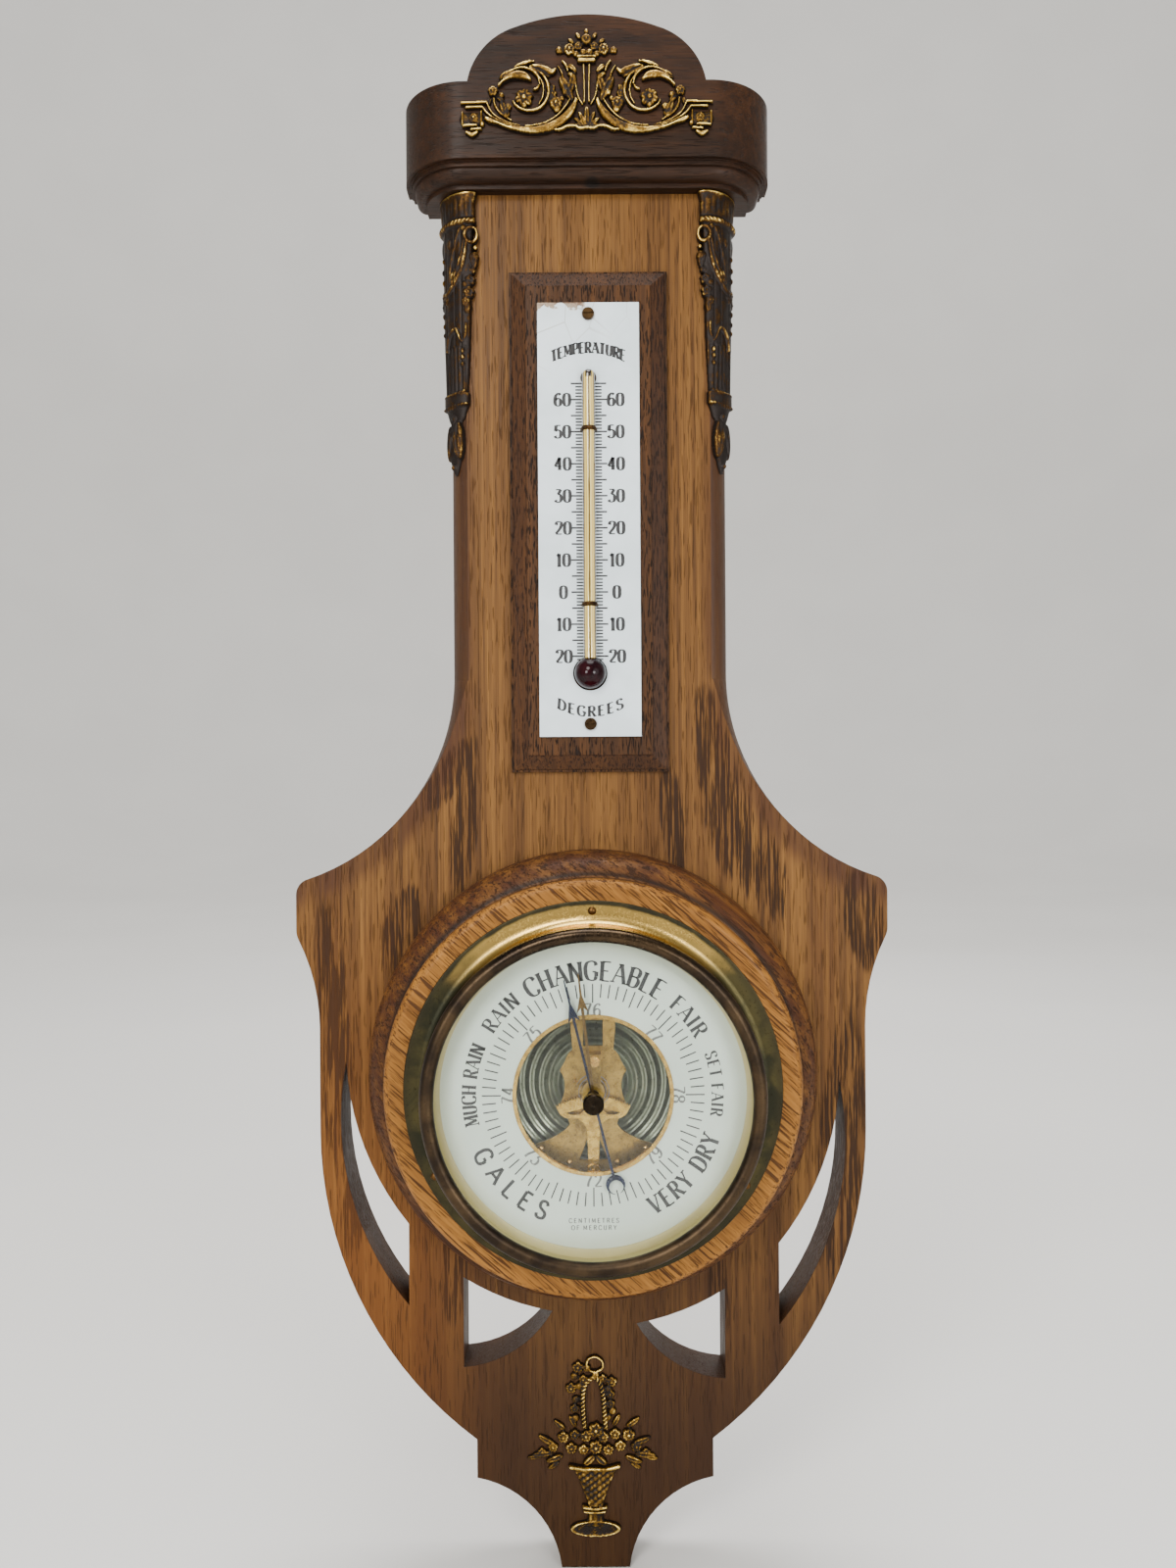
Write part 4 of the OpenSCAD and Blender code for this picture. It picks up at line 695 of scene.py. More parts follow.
def rounded(points, steps=5):
    """A smooth curve through the points."""
    points = np.asarray(points, float)
    padded = np.vstack([2 * points[0] - points[1], points, 2 * points[-1] - points[-2]])
    out = []
    for i in range(1, len(padded) - 2):
        p0, p1, p2, p3 = padded[i - 1:i + 3]
        for t in np.linspace(0, 1, steps, endpoint=False):
            out.append(0.5 * (2 * p1 + (p2 - p0) * t + (2 * p0 - 5 * p1 + 4 * p2 - p3) * t ** 2
                              + (3 * p1 - p0 - 3 * p2 + p3) * t ** 3))
    out.append(points[-1])
    return np.array(out)


def glyph_strokes(letter):
    for kind, points in GLYPHS[letter][1]:
        yield rounded(points) if kind == "C" else np.array(points)


def write(marks, text, height, place, thin, thick, width, gap, serif=0.0):
    """Writes text as with a broad pen, whose upright strokes are thick and level ones thin.
    place(along, up) turns a position along the line into x, z. The strokes' widths, the gap and the
    reach of a serif are shares of the text's height, and width makes the letters narrower."""
    space = 0.45
    round_letters = "OCGS0368"
    advance = sum(GLYPHS[c][0] * width + gap if c in GLYPHS else space for c in text) - gap
    cursor = -advance / 2
    for c in text:
        if c not in GLYPHS:
            cursor += space
            continue
        for points in glyph_strokes(c):
            if len(points) == 2:
                points = points[0] + (points[1] - points[0]) * np.linspace(0, 1, 4)[:, None]
            run = np.gradient(points, axis=0)
            upright = np.abs(run[:, 1]) / np.maximum(np.hypot(run[:, 0] * width, run[:, 1]), 1e-9)
            rising = (run[:, 0] * run[:, 1] > 0.01 * np.abs(run[:, 1])) & (upright > 0.3) & (c in "AVMNY")
            pen = np.where(rising, thin, thin + (thick - thin) * upright ** 2)
            path = [place((cursor + x * width) * height, (z - 0.5) * height) for x, z in points]
            marks.strip(path, pen * height)
            if serif and c not in round_letters:
                for end in (points[0], points[-1]):
                    steep = abs(points[-1][1] - points[0][1]) > 0.5
                    if steep and (end[1] < 0.02 or end[1] > 0.98):
                        level = abs(end[1] - thin * 0.4)
                        foot = [place((cursor + end[0] * width + reach) * height, (level - 0.5) * height)
                                for reach in np.linspace(-serif, serif, 3)]
                        marks.strip(foot, [thin * height] * 3)
        cursor += GLYPHS[c][0] * width + gap


def upright_at(x, z):
    """A straight line of writing, centred at x, z."""
    return lambda along, up: (x + along, z + up)


def bent_line(z, bend):
    """A line of writing that rises to both sides, or drops where bend is below 0."""
    spread = math.copysign(0.006, -bend)
    return lambda along, up: (along * (1 + up * spread), z + up + along * along * bend)


def on_dial(radius, clock, outward=True):
    """Bends a line of writing round the dial. clock is degrees from the top, clockwise."""
    def place(along, up):
        angle = math.radians(clock) + (along / radius if outward else -along / radius)
        reach = radius + (up if outward else -up)
        return reach * math.sin(angle), DIAL_Z + reach * math.cos(angle)
    return place


def ink(name, colour, other):
    return spotted(name, (900, 3, 0.6), colour, other, (0.4, 0.7), Roughness=0.5)


BLACK_INK = ink("black_ink", tint(18, 18, 20), tint(40, 40, 42))
GREY_INK = ink("grey_ink", tint(92, 96, 92), tint(120, 124, 118))
DIAL_INK = ink("dial_ink", tint(30, 32, 34), tint(54, 56, 56))


def thermometer_marks():
    """The plate's lines, one for each degree on both sides of the tube, its figures and its words."""
    face = front_of("scale_plate")
    zero, degree = -165.9, 1.172
    first, last = -22, 65
    inner, short, long, longest = 2.4, 4.8, 6.5, 6.7
    fine, heavy = 0.56, 0.62
    lines = Marks(face)
    for value in range(first, last + 1):
        z = zero + value * degree
        end, width = (long, heavy) if value % 5 == 0 else (short, fine)
        if value % 10 == 0:
            end = longest
        for side in (-1, 1):
            lines.line(side * inner, z, side * end, z, width)
    lines.build("scale_lines", BLACK_INK, "enamel")
    figures = Marks(face)
    left, right, size = -9.6, 9.9, 4.6
    pen = dict(thin=0.10, thick=0.27, width=0.88, gap=0.14)
    for value in range(-20, 61, 10):
        z = zero + value * degree
        for x in (left, right):
            write(figures, str(abs(value)), size, upright_at(x, z), **pen)
    figures.build("scale_figures", BLACK_INK, "enamel")
    words = Marks(face)
    pen = dict(thin=0.11, thick=0.29, serif=0.17)
    write(words, "TEMPERATURE", 3.9, bent_line(-76.6, -0.018), width=0.76, gap=0.11, **pen)
    write(words, "DEGREES", 3.7, bent_line(-209.5, 0.022), width=0.98, gap=0.30, **pen)
    words.build("scale_words", BLACK_INK, "enamel")


def dial_marks():
    """The dial's eighty lines, the figure at every tenth of them, and its words."""
    face = front_of("dial")
    grey, dark, words = Marks(face), Marks(face), Marks(face)
    count, step, line_width = 80, 4.5, 0.44
    outer, short, long, longest = 37.9, 33.2, 32.0, 31.4
    for i in range(count):
        angle = math.radians(-180 + step * i)
        inner = short if i % 5 else long
        if i % 10 == 0:
            inner = longest
        sin, cos = math.sin(angle), math.cos(angle)
        dark.line(inner * sin, DIAL_Z + inner * cos, outer * sin, DIAL_Z + outer * cos, line_width)
    first_figure, figure_size, figure_radius = 72, 4.3, 29.0
    for k in range(count // 10):
        clock = -180 + 10 * step * k
        place = on_dial(figure_radius, clock, outward=abs(clock) < 120)
        write(grey, str(first_figure + k), figure_size, place, thin=0.09, thick=0.19, width=0.9, gap=0.14)
    upper_radius, lower_radius = 42.3, 42.6
    pen = dict(thin=0.075, thick=0.21, serif=0.13)
    for text, clock, height, width, gap in (
        ("MUCH RAIN", -85, 4.8, 0.76, 0.15), ("RAIN", -48, 5.0, 0.88, 0.22),
        ("CHANGEABLE", 1, 6.5, 0.86, 0.16), ("FAIR", 51, 5.4, 0.84, 0.24), ("SET FAIR", 85, 4.0, 0.84, 0.24),
    ):
        write(words, text, height, on_dial(upper_radius, clock), width=width, gap=gap, **pen)
    gales, very_dry = (on_dial(lower_radius, clock, outward=False) for clock in (-137, 131))
    write(words, "GALES", 6.0, gales, thin=0.16, thick=0.19, width=0.92, gap=0.52)
    write(words, "VERY DRY", 6.0, very_dry, thin=0.09, thick=0.21, width=0.80, gap=0.18, serif=0.13)
    for text, below in (("CENTIMETRES", 42.6), ("OF MERCURY", 45.0)):
        write(words, text, 1.5, upright_at(0, DIAL_Z - below), thin=0.12, thick=0.17, width=0.95, gap=0.45)
    dark.build("dial_lines", DIAL_INK, "white_dial")
    grey.build("dial_figures", GREY_INK, "white_dial")
    words.build("dial_words", DIAL_INK, "white_dial")


# Pressed brass ornaments

def soften(field, passes):
    """Blurs a grid of heights with a small kernel, passes times."""
    for _ in range(passes):
        for axis in (0, 1):
            ahead, behind = np.roll(field, 1, axis), np.roll(field, -1, axis)
            field = (2 * field + ahead + behind) / 4
    return field


def shapes(**groups):
    """Reads an ornament's shapes, with a semicolon between them. Lengths are in millimetres.
    stroke: rise or rise,pitch, then across,up,width at each point. dome: across,up radius rise.
    flower: across,up radius petals rise. leaf: across,up angle length width rise."""
    found = []
    for kind, text in groups.items():
        for row in text.split(";"):
            first, *rest = [[float(number) for number in word.split(",")] for word in row.split()]
            if kind == "stroke":
                found.append((kind, [point[:2] for point in rest], [point[2] for point in rest], *first))
            else:
                found.append((kind, first, *[number for number, in rest]))
    return found


class Relief:
    """Sheet brass pressed into relief: heights in millimetres over a grid of across and up."""

    def __init__(self, left, right, low, high, step=0.2):
        self.step = step
        self.x = np.arange(left, right + step / 2, step)
        self.z = np.arange(low, high + step / 2, step)
        self.height = np.zeros((len(self.z), len(self.x)))

    def window(self, x, z, reach):
        def span(line, middle):
            return slice(*np.searchsorted(line, (middle - reach, middle + reach)))
        rows, cols = span(self.z, z), span(self.x, x)
        return rows, cols, self.x[cols][None, :] - x, self.z[rows][:, None] - z

    def press(self, rows, cols, height):
        self.height[rows, cols] = np.maximum(self.height[rows, cols], height)

    def cap(self, share, radius, rise):
        """Height of a rounded top: share is 0 at its middle and 1 at its edge."""
        round_part = min(0.9 * radius, rise - 0.3)
        return np.where(share < 1, rise - round_part * (1 - np.sqrt(np.clip(1 - share ** 2, 0, 1))), 0)

    def dome(self, at, radius, rise):
        rows, cols, dx, dz = self.window(*at, radius)
        self.press(rows, cols, self.cap(np.hypot(dx, dz) / radius, radius, rise))

    def flower(self, at, radius, petals, rise):
        for k in range(int(petals)):
            angle = 0.3 + math.tau * k / petals
            root = (at[0] + 0.16 * radius * math.cos(angle), at[1] + 0.16 * radius * math.sin(angle))
            self.leaf(root, math.degrees(angle), 0.84 * radius, 0.86 * radius, rise * 0.86)
        self.dome(at, radius * 0.3, rise)

    def leaf(self, at, angle, length, width, rise):
        cos, sin = math.cos(math.radians(angle)), math.sin(math.radians(angle))
        rows, cols, dx, dz = self.window(at[0] + length / 2 * cos, at[1] + length / 2 * sin, length * 0.75)
        dx, dz = dx + length / 2 * cos, dz + length / 2 * sin
        along = np.clip((dx * cos + dz * sin) / length, 0, 1)
        across = dz * cos - dx * sin
        half = width / 2 * np.sqrt(np.clip(np.sin(math.pi * along ** 0.85), 0, 1))
        share = np.abs(across) / np.maximum(half, 1e-6)
        vein = 0.28 * rise * np.exp(-(across / (0.13 * width)) ** 2)
        height = self.cap(share, width / 2, rise) * (0.72 + 0.28 * np.sin(math.pi * along)) - vein
        self.press(rows, cols, np.where((along > 0) & (along < 1) & (share < 1), height, 0))

    def stroke(self, points, widths, rise, pitch=0.0):
        """A rounded cord along a smooth curve. A pitch twists it like a rope."""
        points = np.asarray(points, float)
        curve = rounded(points, 12) if len(points) > 2 else np.linspace(points[0], points[-1], 12)
        width = np.interp(np.linspace(0, len(points) - 1, len(curve)), range(len(points)), widths)
        run = np.concatenate([[0], np.cumsum(np.hypot(*np.diff(curve, axis=0).T))])
        for s in np.arange(0, run[-1] + 1e-6, self.step * 0.7):
            x, z, w = (np.interp(s, run, column) for column in (curve[:, 0], curve[:, 1], width))
            radius = max(w / 2, self.step)
            rows, cols, dx, dz = self.window(x, z, radius)
            height = self.cap(np.hypot(dx, dz) / radius, radius, rise)
            if pitch:
                ahead = np.array([np.interp(s + 0.3, run, column) - np.interp(s - 0.3, run, column)
                                  for column in (curve[:, 0], curve[:, 1])])
                ahead = ahead / max(np.hypot(*ahead), 1e-9)
                across = (dz * ahead[0] - dx * ahead[1]) / radius
                along = s + dx * ahead[0] + dz * ahead[1]
                height = height * (0.78 + 0.22 * np.sin(math.tau * (along / pitch + 0.42 * across)))
            self.press(rows, cols, height)

    def draw(self, shapes):
        for kind, *values in shapes:
            getattr(self, kind)(*values)

    def mirror(self):
        """Copies the left half to the right, on a grid that is even about 0."""
        self.height = np.maximum(self.height, self.height[:, ::-1])

    def build(self, name, node, place):
        """Makes the piece. place turns across, up and height into x, f and z.
        lift says how far each point stands above what is round it, and gives it its shade."""
        floor, buried = 0.12, -0.05
        height = soften(self.height, 1)
        lift = 0.5 + (height - soften(height, 14)) * 0.55 + 0.10 * (height - height.max() * 0.6)
        filled = height > floor
        cell = filled[:-1, :-1] & filled[1:, :-1] & filled[:-1, 1:] & filled[1:, 1:]
        across, up = np.meshgrid(self.x, self.z)
        count = across.size
        index = np.arange(count).reshape(across.shape)
        r, c = np.nonzero(cell)
        faces = [np.column_stack([index[r, c], index[r, c + 1], index[r + 1, c + 1], index[r + 1, c]])]
        padded = np.pad(cell, 1)
        # Walls round the rim run down into what carries the ornament
        for dr, dc, a, b in ((-1, 0, (0, 0), (0, 1)), (1, 0, (1, 1), (1, 0)),
                             (0, -1, (1, 0), (0, 0)), (0, 1, (0, 1), (1, 1))):
            open_side = cell & ~padded[1 + dr:cell.shape[0] + 1 + dr, 1 + dc:cell.shape[1] + 1 + dc]
            r, c = np.nonzero(open_side)
            first, second = index[r + a[0], c + a[1]], index[r + b[0], c + b[1]]
            faces.append(np.column_stack([first + count, second + count, second, first]))
        faces = np.vstack(faces)
        top = place(across.ravel(), up.ravel(), height.ravel())
        foot = place(across.ravel(), up.ravel(), np.full(count, buried))
        used, faces = np.unique(faces, return_inverse=True)
        points = np.vstack([top, foot])[used]
        lifts = np.concatenate([lift.ravel(), np.full(count, 0.1)])[used]
        slot = SLOT_OF[node]
        piece = make_piece(name, points, faces.reshape(-1, 4), MATERIALS[slot], slot, lift=lifts)
        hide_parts(node)
        return piece


def on_face(face, middle=0.0):
    """Lays a relief flat on a face that is so far from the back, with its origin at height middle."""
    return lambda across, up, height: np.column_stack([across, face + height, up + middle])


def make_scroll():
    """The scroll ornament on the head. Its left half is drawn, and mirrored."""
    face = 30.0
    art = Relief(-46, 46, -6, 38)
    art.draw(SCROLL)
    art.mirror()
    art.build("scroll_relief", "scroll_ornament", on_face(face))


def make_tie_turns():
    """Three turns of wire at each tie of the thermometer tube."""
    radius, wire = 2.3, 0.26
    wrap, steps, sides = 204, 24, 8
    turns = (-0.25, 0.30, 0.85)
    middle = -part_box("thermometer_tube")[0].y / MM - radius
    low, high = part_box("tube_ties")
    points, faces = [], []
    for tie_z, inward in ((low.z / MM, 1), (high.z / MM, -1)):
        for turn in turns:
            start = len(points)
            for k in range(steps + 1):
                angle = math.radians(wrap * (k / steps - 0.5))
                for n in range(sides):
                    around = math.tau * n / sides
                    reach = radius + wire * 0.6 + wire * math.cos(around)
                    points.append((reach * math.sin(angle), middle + reach * math.cos(angle),
                                   tie_z + inward * turn + wire * math.sin(around)))
            for k in range(steps):
                for n in range(sides):
                    a, b = (start + sides * k + m for m in (n, (n + 1) % sides))
                    faces.append((a, b, b + sides, a + sides))
            faces.append(tuple(range(start, start + sides))[::-1])
            faces.append(tuple(range(start + sides * steps, start + sides * (steps + 1))))
    make_piece("tie_turns", points, faces, MATERIALS["tie_wire"], "tie_wire")


def make_basket():
    """The flower basket on the foot."""
    face, middle = 18.0, -455.0
    art = Relief(-25, 25, -60, 10)
    art.draw(BASKET)
    x, z = np.meshgrid(art.x, art.z)

    def press(where, height):
        art.press(slice(None), slice(None), np.where(where, height, 0))

    def rounded_body(heights, halves):
        """A body's share from its middle to its side, and its roundness, from its half widths."""
        half = np.interp(z, heights, halves)
        share = np.abs(x) / half
        inside = (share < 1) & (z > heights[0]) & (z < heights[-1])
        return half, inside, 1.1 * np.sqrt(np.clip(1 - share ** 2, 0, 1))

    # Woven basket
    _, inside, crown = rounded_body([-47.5, -46.0, -40.5, -33.0], [2.7, 3.0, 5.0, 8.3])
    one_way = np.abs(np.sin(math.pi * (z - 0.75 * x) / 2.4))
    other_way = np.abs(np.sin(math.pi * (z + 0.9 * x) / 2.4))
    press(inside, 0.7 + crown + (0.55 * one_way + 0.25 * other_way))
    # Fluted stem
    half, inside, crown = rounded_body([-55.0, -52.5, -49.5], [4.2, 2.9, 2.8])
    press(inside, 0.6 + crown + 0.22 * np.cos(math.tau * x / half * 1.5))
    # Oval foot with a beaded top and a rim
    oval = np.hypot(x / 9.0, (z + 56.0) / 2.8)
    beads = 0.28 * np.sin(math.tau * x / 1.15) * np.sin(math.tau * z / 1.1)
    press(oval < 1, 1.1 + beads)
    press(np.abs(oval - 0.95) < 0.08, 1.9)
    art.build("basket_relief", "basket_ornament", on_face(face, middle))


# Heights along a column mount. At each of them: where the sheet's inner and outer edge run, and how far
# its plain surface stands off the wood
STATIONS = [-121, -119.5, -114, -108, -103, -100.5, -96.0, -95.5, -91.4, -91.0, -75, -60, -30, -29.4,
            -27.6, -27.2, -22.0, -18.0]
INNER = [11, 10, 7.6, 7.2, 9.5, 6.5, 4.2, 3.6, 3.6, 4.4, 3.2, 2.6, 1.6, 0.2, 0.2, 0.4, 0.6, -0.4]
OUTER = [12, 13, 15.5, 16, 13.5, 17, 20, 21.5, 21.5, 21.5, 23, 24.5, 25.2, 26, 26, 26, 26.4, 26.6]
STAND = [0.9, 1.2, 2.0, 2.0, 1.0, 1.2, 1.9, 2.6, 2.6, 2.0, 2.3, 2.5, 2.7, 3.6, 3.6, 3.0, 3.2, 3.9]


def make_column_mount(side):
    """Half column with flutes, swags, a bow and a hanging leaf, bent round the neck's corner.
    Across is the distance round the corner from its front, at the shaft's surface.
    side is -1 for the left corner and 1 for the right one."""
    axis_x, axis_f, wood_r, shaft_r = 41.0, 8.0, 10.9, 14.2
    art = Relief(-2.0, 27.0, -121.0, -18.0, 0.22)
    u, z = np.meshgrid(art.x, art.z)
    inner, outer, stand = (np.interp(z, STATIONS, values) for values in (INNER, OUTER, STAND))
    middle, half = (inner + outer) / 2, np.maximum((outer - inner) / 2, 0.1)
    share = np.abs(u - middle) / half
    plain = stand * (0.45 + 0.55 * np.sqrt(np.clip(1 - share ** 4, 0, 1)))
    # Flutes low on the shaft, long grooves along it, and a row of leaves at its top
    flutes = 0.38 * (0.5 + 0.5 * np.cos(math.tau * (u - middle) / 2.1))
    plain -= np.where((z < -74) & (z > -90.8), flutes, 0)
    for groove in (((np.abs(u - 8.0) - 1.6) / 0.35), ((u - 15.0) / 0.4)):
        plain -= np.where((z < -30) & (z > -74), 0.30 * np.exp(-groove ** 2), 0)
    leaves = 0.35 * np.abs(np.sin(math.pi * u / 2.4)) * np.sin(math.pi * (z + 27) / 7.5)
    plain += np.where((z > -27) & (z < -19.5), leaves, 0)
    art.draw(COLUMN)
    art.height = np.where(share < 1, plain + np.maximum(art.height - 0.25, 0) * 0.9,
                          np.where(art.height > 0.3, art.height + 1.0, 0))

    def place(across, up, height):
        angle = across / shaft_r
        reach = wood_r + height
        return np.column_stack([side * (axis_x + reach * np.sin(angle)), axis_f + reach * np.cos(angle), up])

    end = "left" if side < 0 else "right"
    piece = art.build("column_relief_" + end, "column_mount_" + end, place)
    if side > 0:
        piece.data.flip_normals()


# Drawn for the left corner: across from the mount's front edge, and height z
COLUMN = shapes(stroke="""
1.5 1.4,-30.8,1.3 3.2,-31.4,1.4 4.4,-33.6,1.4 3.4,-35.8,1.4 1.4,-36.2,1.4 -.2,-34.6,1.3 0,-32,1.3
  1.4,-30.8,1.3;
1.3 3.8,-36,1 4.6,-41,1.3 6.2,-46,1.6 9,-50,2.2 13,-53.5,1.9 17,-53,1.2;
1 4.6,-34,.7 6,-40,1 8,-45.5,1.2 10,-49,.8;
.8 6.5,-30.6,.6 9,-36,.9 11.5,-44,1 12.5,-50.5,.6;
1.3 6.2,-72.6,.7 9,-67.6,1.3 12.6,-70,1.3 14.2,-75,.8;
.9 4.4,-66,.6 4.6,-70,.9 6,-73,.7;
1.1,1.6 5.4,-90.6,1 12.5,-91.2,1 20.5,-90.6,1;
1.1,1.6 4.4,-95.6,1.2 12.5,-96.2,1.2 20.5,-95.6,1.2;
1.1,1.6 .8,-28.4,1.5 13,-28.6,1.5 25.4,-28.4,1.5""",
leaf="""
.9,-40 -90 6 3.4 1.3;
8.2,-45.5 -58 5.2 2.6 1.6;
3.4,-58 -84 4.6 2.6 1.1;
12.2,-33.5 -86 4 2.2 1;
21.5,-31 -95 7 2.2 .9;
12,-98 -84 9 3.4 1.2;
9.6,-101 -96 14.5 5.2 1.9;
14.4,-102 -84 13.5 4.6 1.5""",
flower="""
2.4,-50 2.1 5 1.2;
3,-54.5 2.3 5 1.3;
4.4,-58 1.9 5 1.2;
15,-55 2.4 6 1.3;
18.6,-53.2 2 5 1.1;
20.6,-56 1.9 5 1.1""",
dome="""
4.8,-31 1.2 1.4;
.4,-38.2 1 1.2;
.8,-41.6 2 1.7;
10.2,-50 1.1 1.5;
1.6,-46.6 1.3 1;
4.6,-51.6 1.2 1.1;
17.4,-40 1 1.1;
18,-44 1.1 1.1;
17.6,-48 1.1 1.1;
17.6,-60.5 1.1 1.1;
17.8,-64.2 1 1;
17.6,-67.6 .9 1;
6,-75.8 .95 1.2;
6.1,-78.2 .95 1.2;
6.2,-80.8 .95 1.2;
11.6,-118.4 1 1.6;
11.4,-100.2 1.2 1.5""")
SCROLL = shapes(stroke="""
2.4 -45,8.6,.62 -40.7,8.6,.74 -36.2,8.9,.62;
2.1 -43.3,7.1,.68 -37.9,7.2,.68;
1.5 -44.7,5.6,.8 -44.7,1.3,.8;
1.5 -37.9,5.9,.8 -37.9,1.3,.8;
1.2 -43.5,3.4,4.64 -38.9,3.4,4.64;
2.4 -44.4,.4,.74 -39.6,.6,.74;
2.2 -41.6,-.9,.74 -37.9,-.6,.68;
1.9 -43.2,-1.8,.93 -41.2,-2.6,1.73 -39.3,-1.7,.8;
2.5 -36.4,3,.8 -34.8,2.3,1.73 -32.1,1.3,.8 -28.3,-.2,.8 -24,-1,1.61 -19.1,-1.3,2.47 -14.4,-.4,3.22
  -10.4,1.3,3.46 -7,4.1,3.09 -4.8,7,2.17 -3.8,9.6,1.05;
2.1 -22.2,.5,.37 -17.5,.7,.62 -13.5,2.1,.62 -10.1,4.4,.62 -7.5,7.5,.56 -6.1,9.9,.37;
2.1 -37.5,7.2,.62 -35.5,4.7,.8 -33,2.9,.8 -29.6,1.3,.8 -25.6,.1,.68 -22.2,-.3,.37;
1.8 -36,9.2,.62 -34.5,5.9,.74 -32.1,3.6,.74 -28.3,1.7,.62 -24,.7,.37;
1.3 -33.3,10.6,.8 -32.9,8.1,1.05 -30.8,5,.93 -27.1,2.7,.49;
2.5 -31.5,14.8,.8 -29.9,16.4,.8 -27.4,18.1,2.04 -24.6,18.7,3.09 -22.2,18.2,2.6 -20.2,16.8,.8;
2.2 -30,17.1,.31 -28.3,19.2,.56 -25.6,20.8,.62 -22.5,21.2,.68 -19.7,20.1,.62 -17.7,18,.56 -16.7,15.5,.31;
2.2 -20.3,21.1,.31 -18.1,19.5,.62 -16.7,17.1,.37;
2.2 -25.9,21.6,.25 -22.5,22.7,1.36 -18.9,23.7,.31;
2.4 -20.2,21.8,.31 -17.2,21.4,1.36 -14.4,20.4,2.23 -12.3,19.5,1.61 -10.8,20.8,.49;
2.2 -20.6,21.4,.49 -16.9,19.5,.8 -14.5,16.7,.99 -13.6,13.3,1.11 -14.1,10.3,1.11 -15.8,7.6,1.05 -18.1,6.1,.99
  -20.6,5.7,.93 -23.2,6.2,.8 -25.4,7.7,.68 -26.6,9.6,.37;
1.7 -18.9,19.5,.37 -16.4,17.1,.56 -15.5,14,.56 -15.8,10.9,.56 -17.2,8.4,.37;
2.3 -19.1,13.3,.43 -17.8,13.7,.68 -17.1,15,.37;
1.9 -8.7,23.6,.62 -7.5,22.2,1.05 -6.7,20.1,.62;
1.5 -10.4,22.3,.43 -8.9,19.5,.8 -8.5,16.7,.37;
2.4 -3.2,24.9,.74 0,24.9,.74;
2.5 -2.7,23.6,1.24 0,23.5,1.42;
2.1 -1.1,22.3,.62 -.8,15.2,.43 -.9,9,.62;
1.6 -3.9,17.7,.37 -3.6,13.3,.68 -2.7,10.3,.68 -1.4,8.1,.43;
2.4 -11.6,-1.3,.43 -9.3,-1.1,.93 -7,-.1,.93 -4.2,0,.74 -2.7,-.8,.93 0,-.6,1.05""",
leaf="""
-32.4,11.2 -35 3.4 1.86 1.6;
-34.5,10.9 -110 3.4 1.55 1.3;
-28.7,6.4 -80 2.78 1.86 1.4;
-14.1,13.3 75 3.4 1.55 1.8;
-11.9,15.5 -100 3.71 1.86 1.9;
-8.7,15.5 -70 4.64 1.24 1.9;
-6.7,22.3 -38 4.02 1.73 2.3;
-6.8,19.5 -38 4.02 1.36 2.2;
0,-.3 90 8.04 2.17 2.2;
-.5,-.1 112 6.5 1.61 2;
-1,-.1 134 5.26 1.42 1.9;
-1.4,-.3 155 3.71 1.24 1.8;
-8.2,27 160 3.09 1.36 1.5;
-4.5,30.2 140 2.78 1.36 1.4;
-2.1,31.9 130 2.78 1.36 1.6;
0,33.4 90 2.17 1.36 1.6;
-9.4,18.4 -64 10 3.8 2;
-4.4,20 -102 8.4 2.8 1.8;
-13.4,11 -58 7 3.2 1.9;
-19.5,21.6 -26 7.4 3.2 2.2;
-30.8,9.6 -72 6 2.8 1.7;
-25.8,19.8 -160 6 2.8 2.2""",
flower="""
-40.7,3.4 1.92 5 2.2;
-22.5,10.6 3.46 6 2.4;
-33.7,13.1 1.98 5 2.1;
-28.3,7.3 1.42 5 2.1;
-12.3,12.1 1.73 5 1.9;
-11,8.7 2.47 6 2.2;
-7.5,12.6 1.42 5 2.4;
-9.8,27.7 1.42 5 1.8;
-6.1,27.8 2.23 6 2.5;
-2.8,29.1 1.73 5 1.9;
0,31.4 2.04 6 2.4""",
dome="""
-37.6,1.3 .93 1.7;
-22.5,7.6 1.05 2.3;
-30.6,11.5 1.05 1.9;
-29.1,4.4 1.05 1.6;
-10.6,6.4 1.36 2;
-6.4,14.7 .8 2.2;
-8.9,10.3 .93 1.7;
-3.6,26.2 1.24 1.8;
-1.1,26.6 1.36 2.2""")
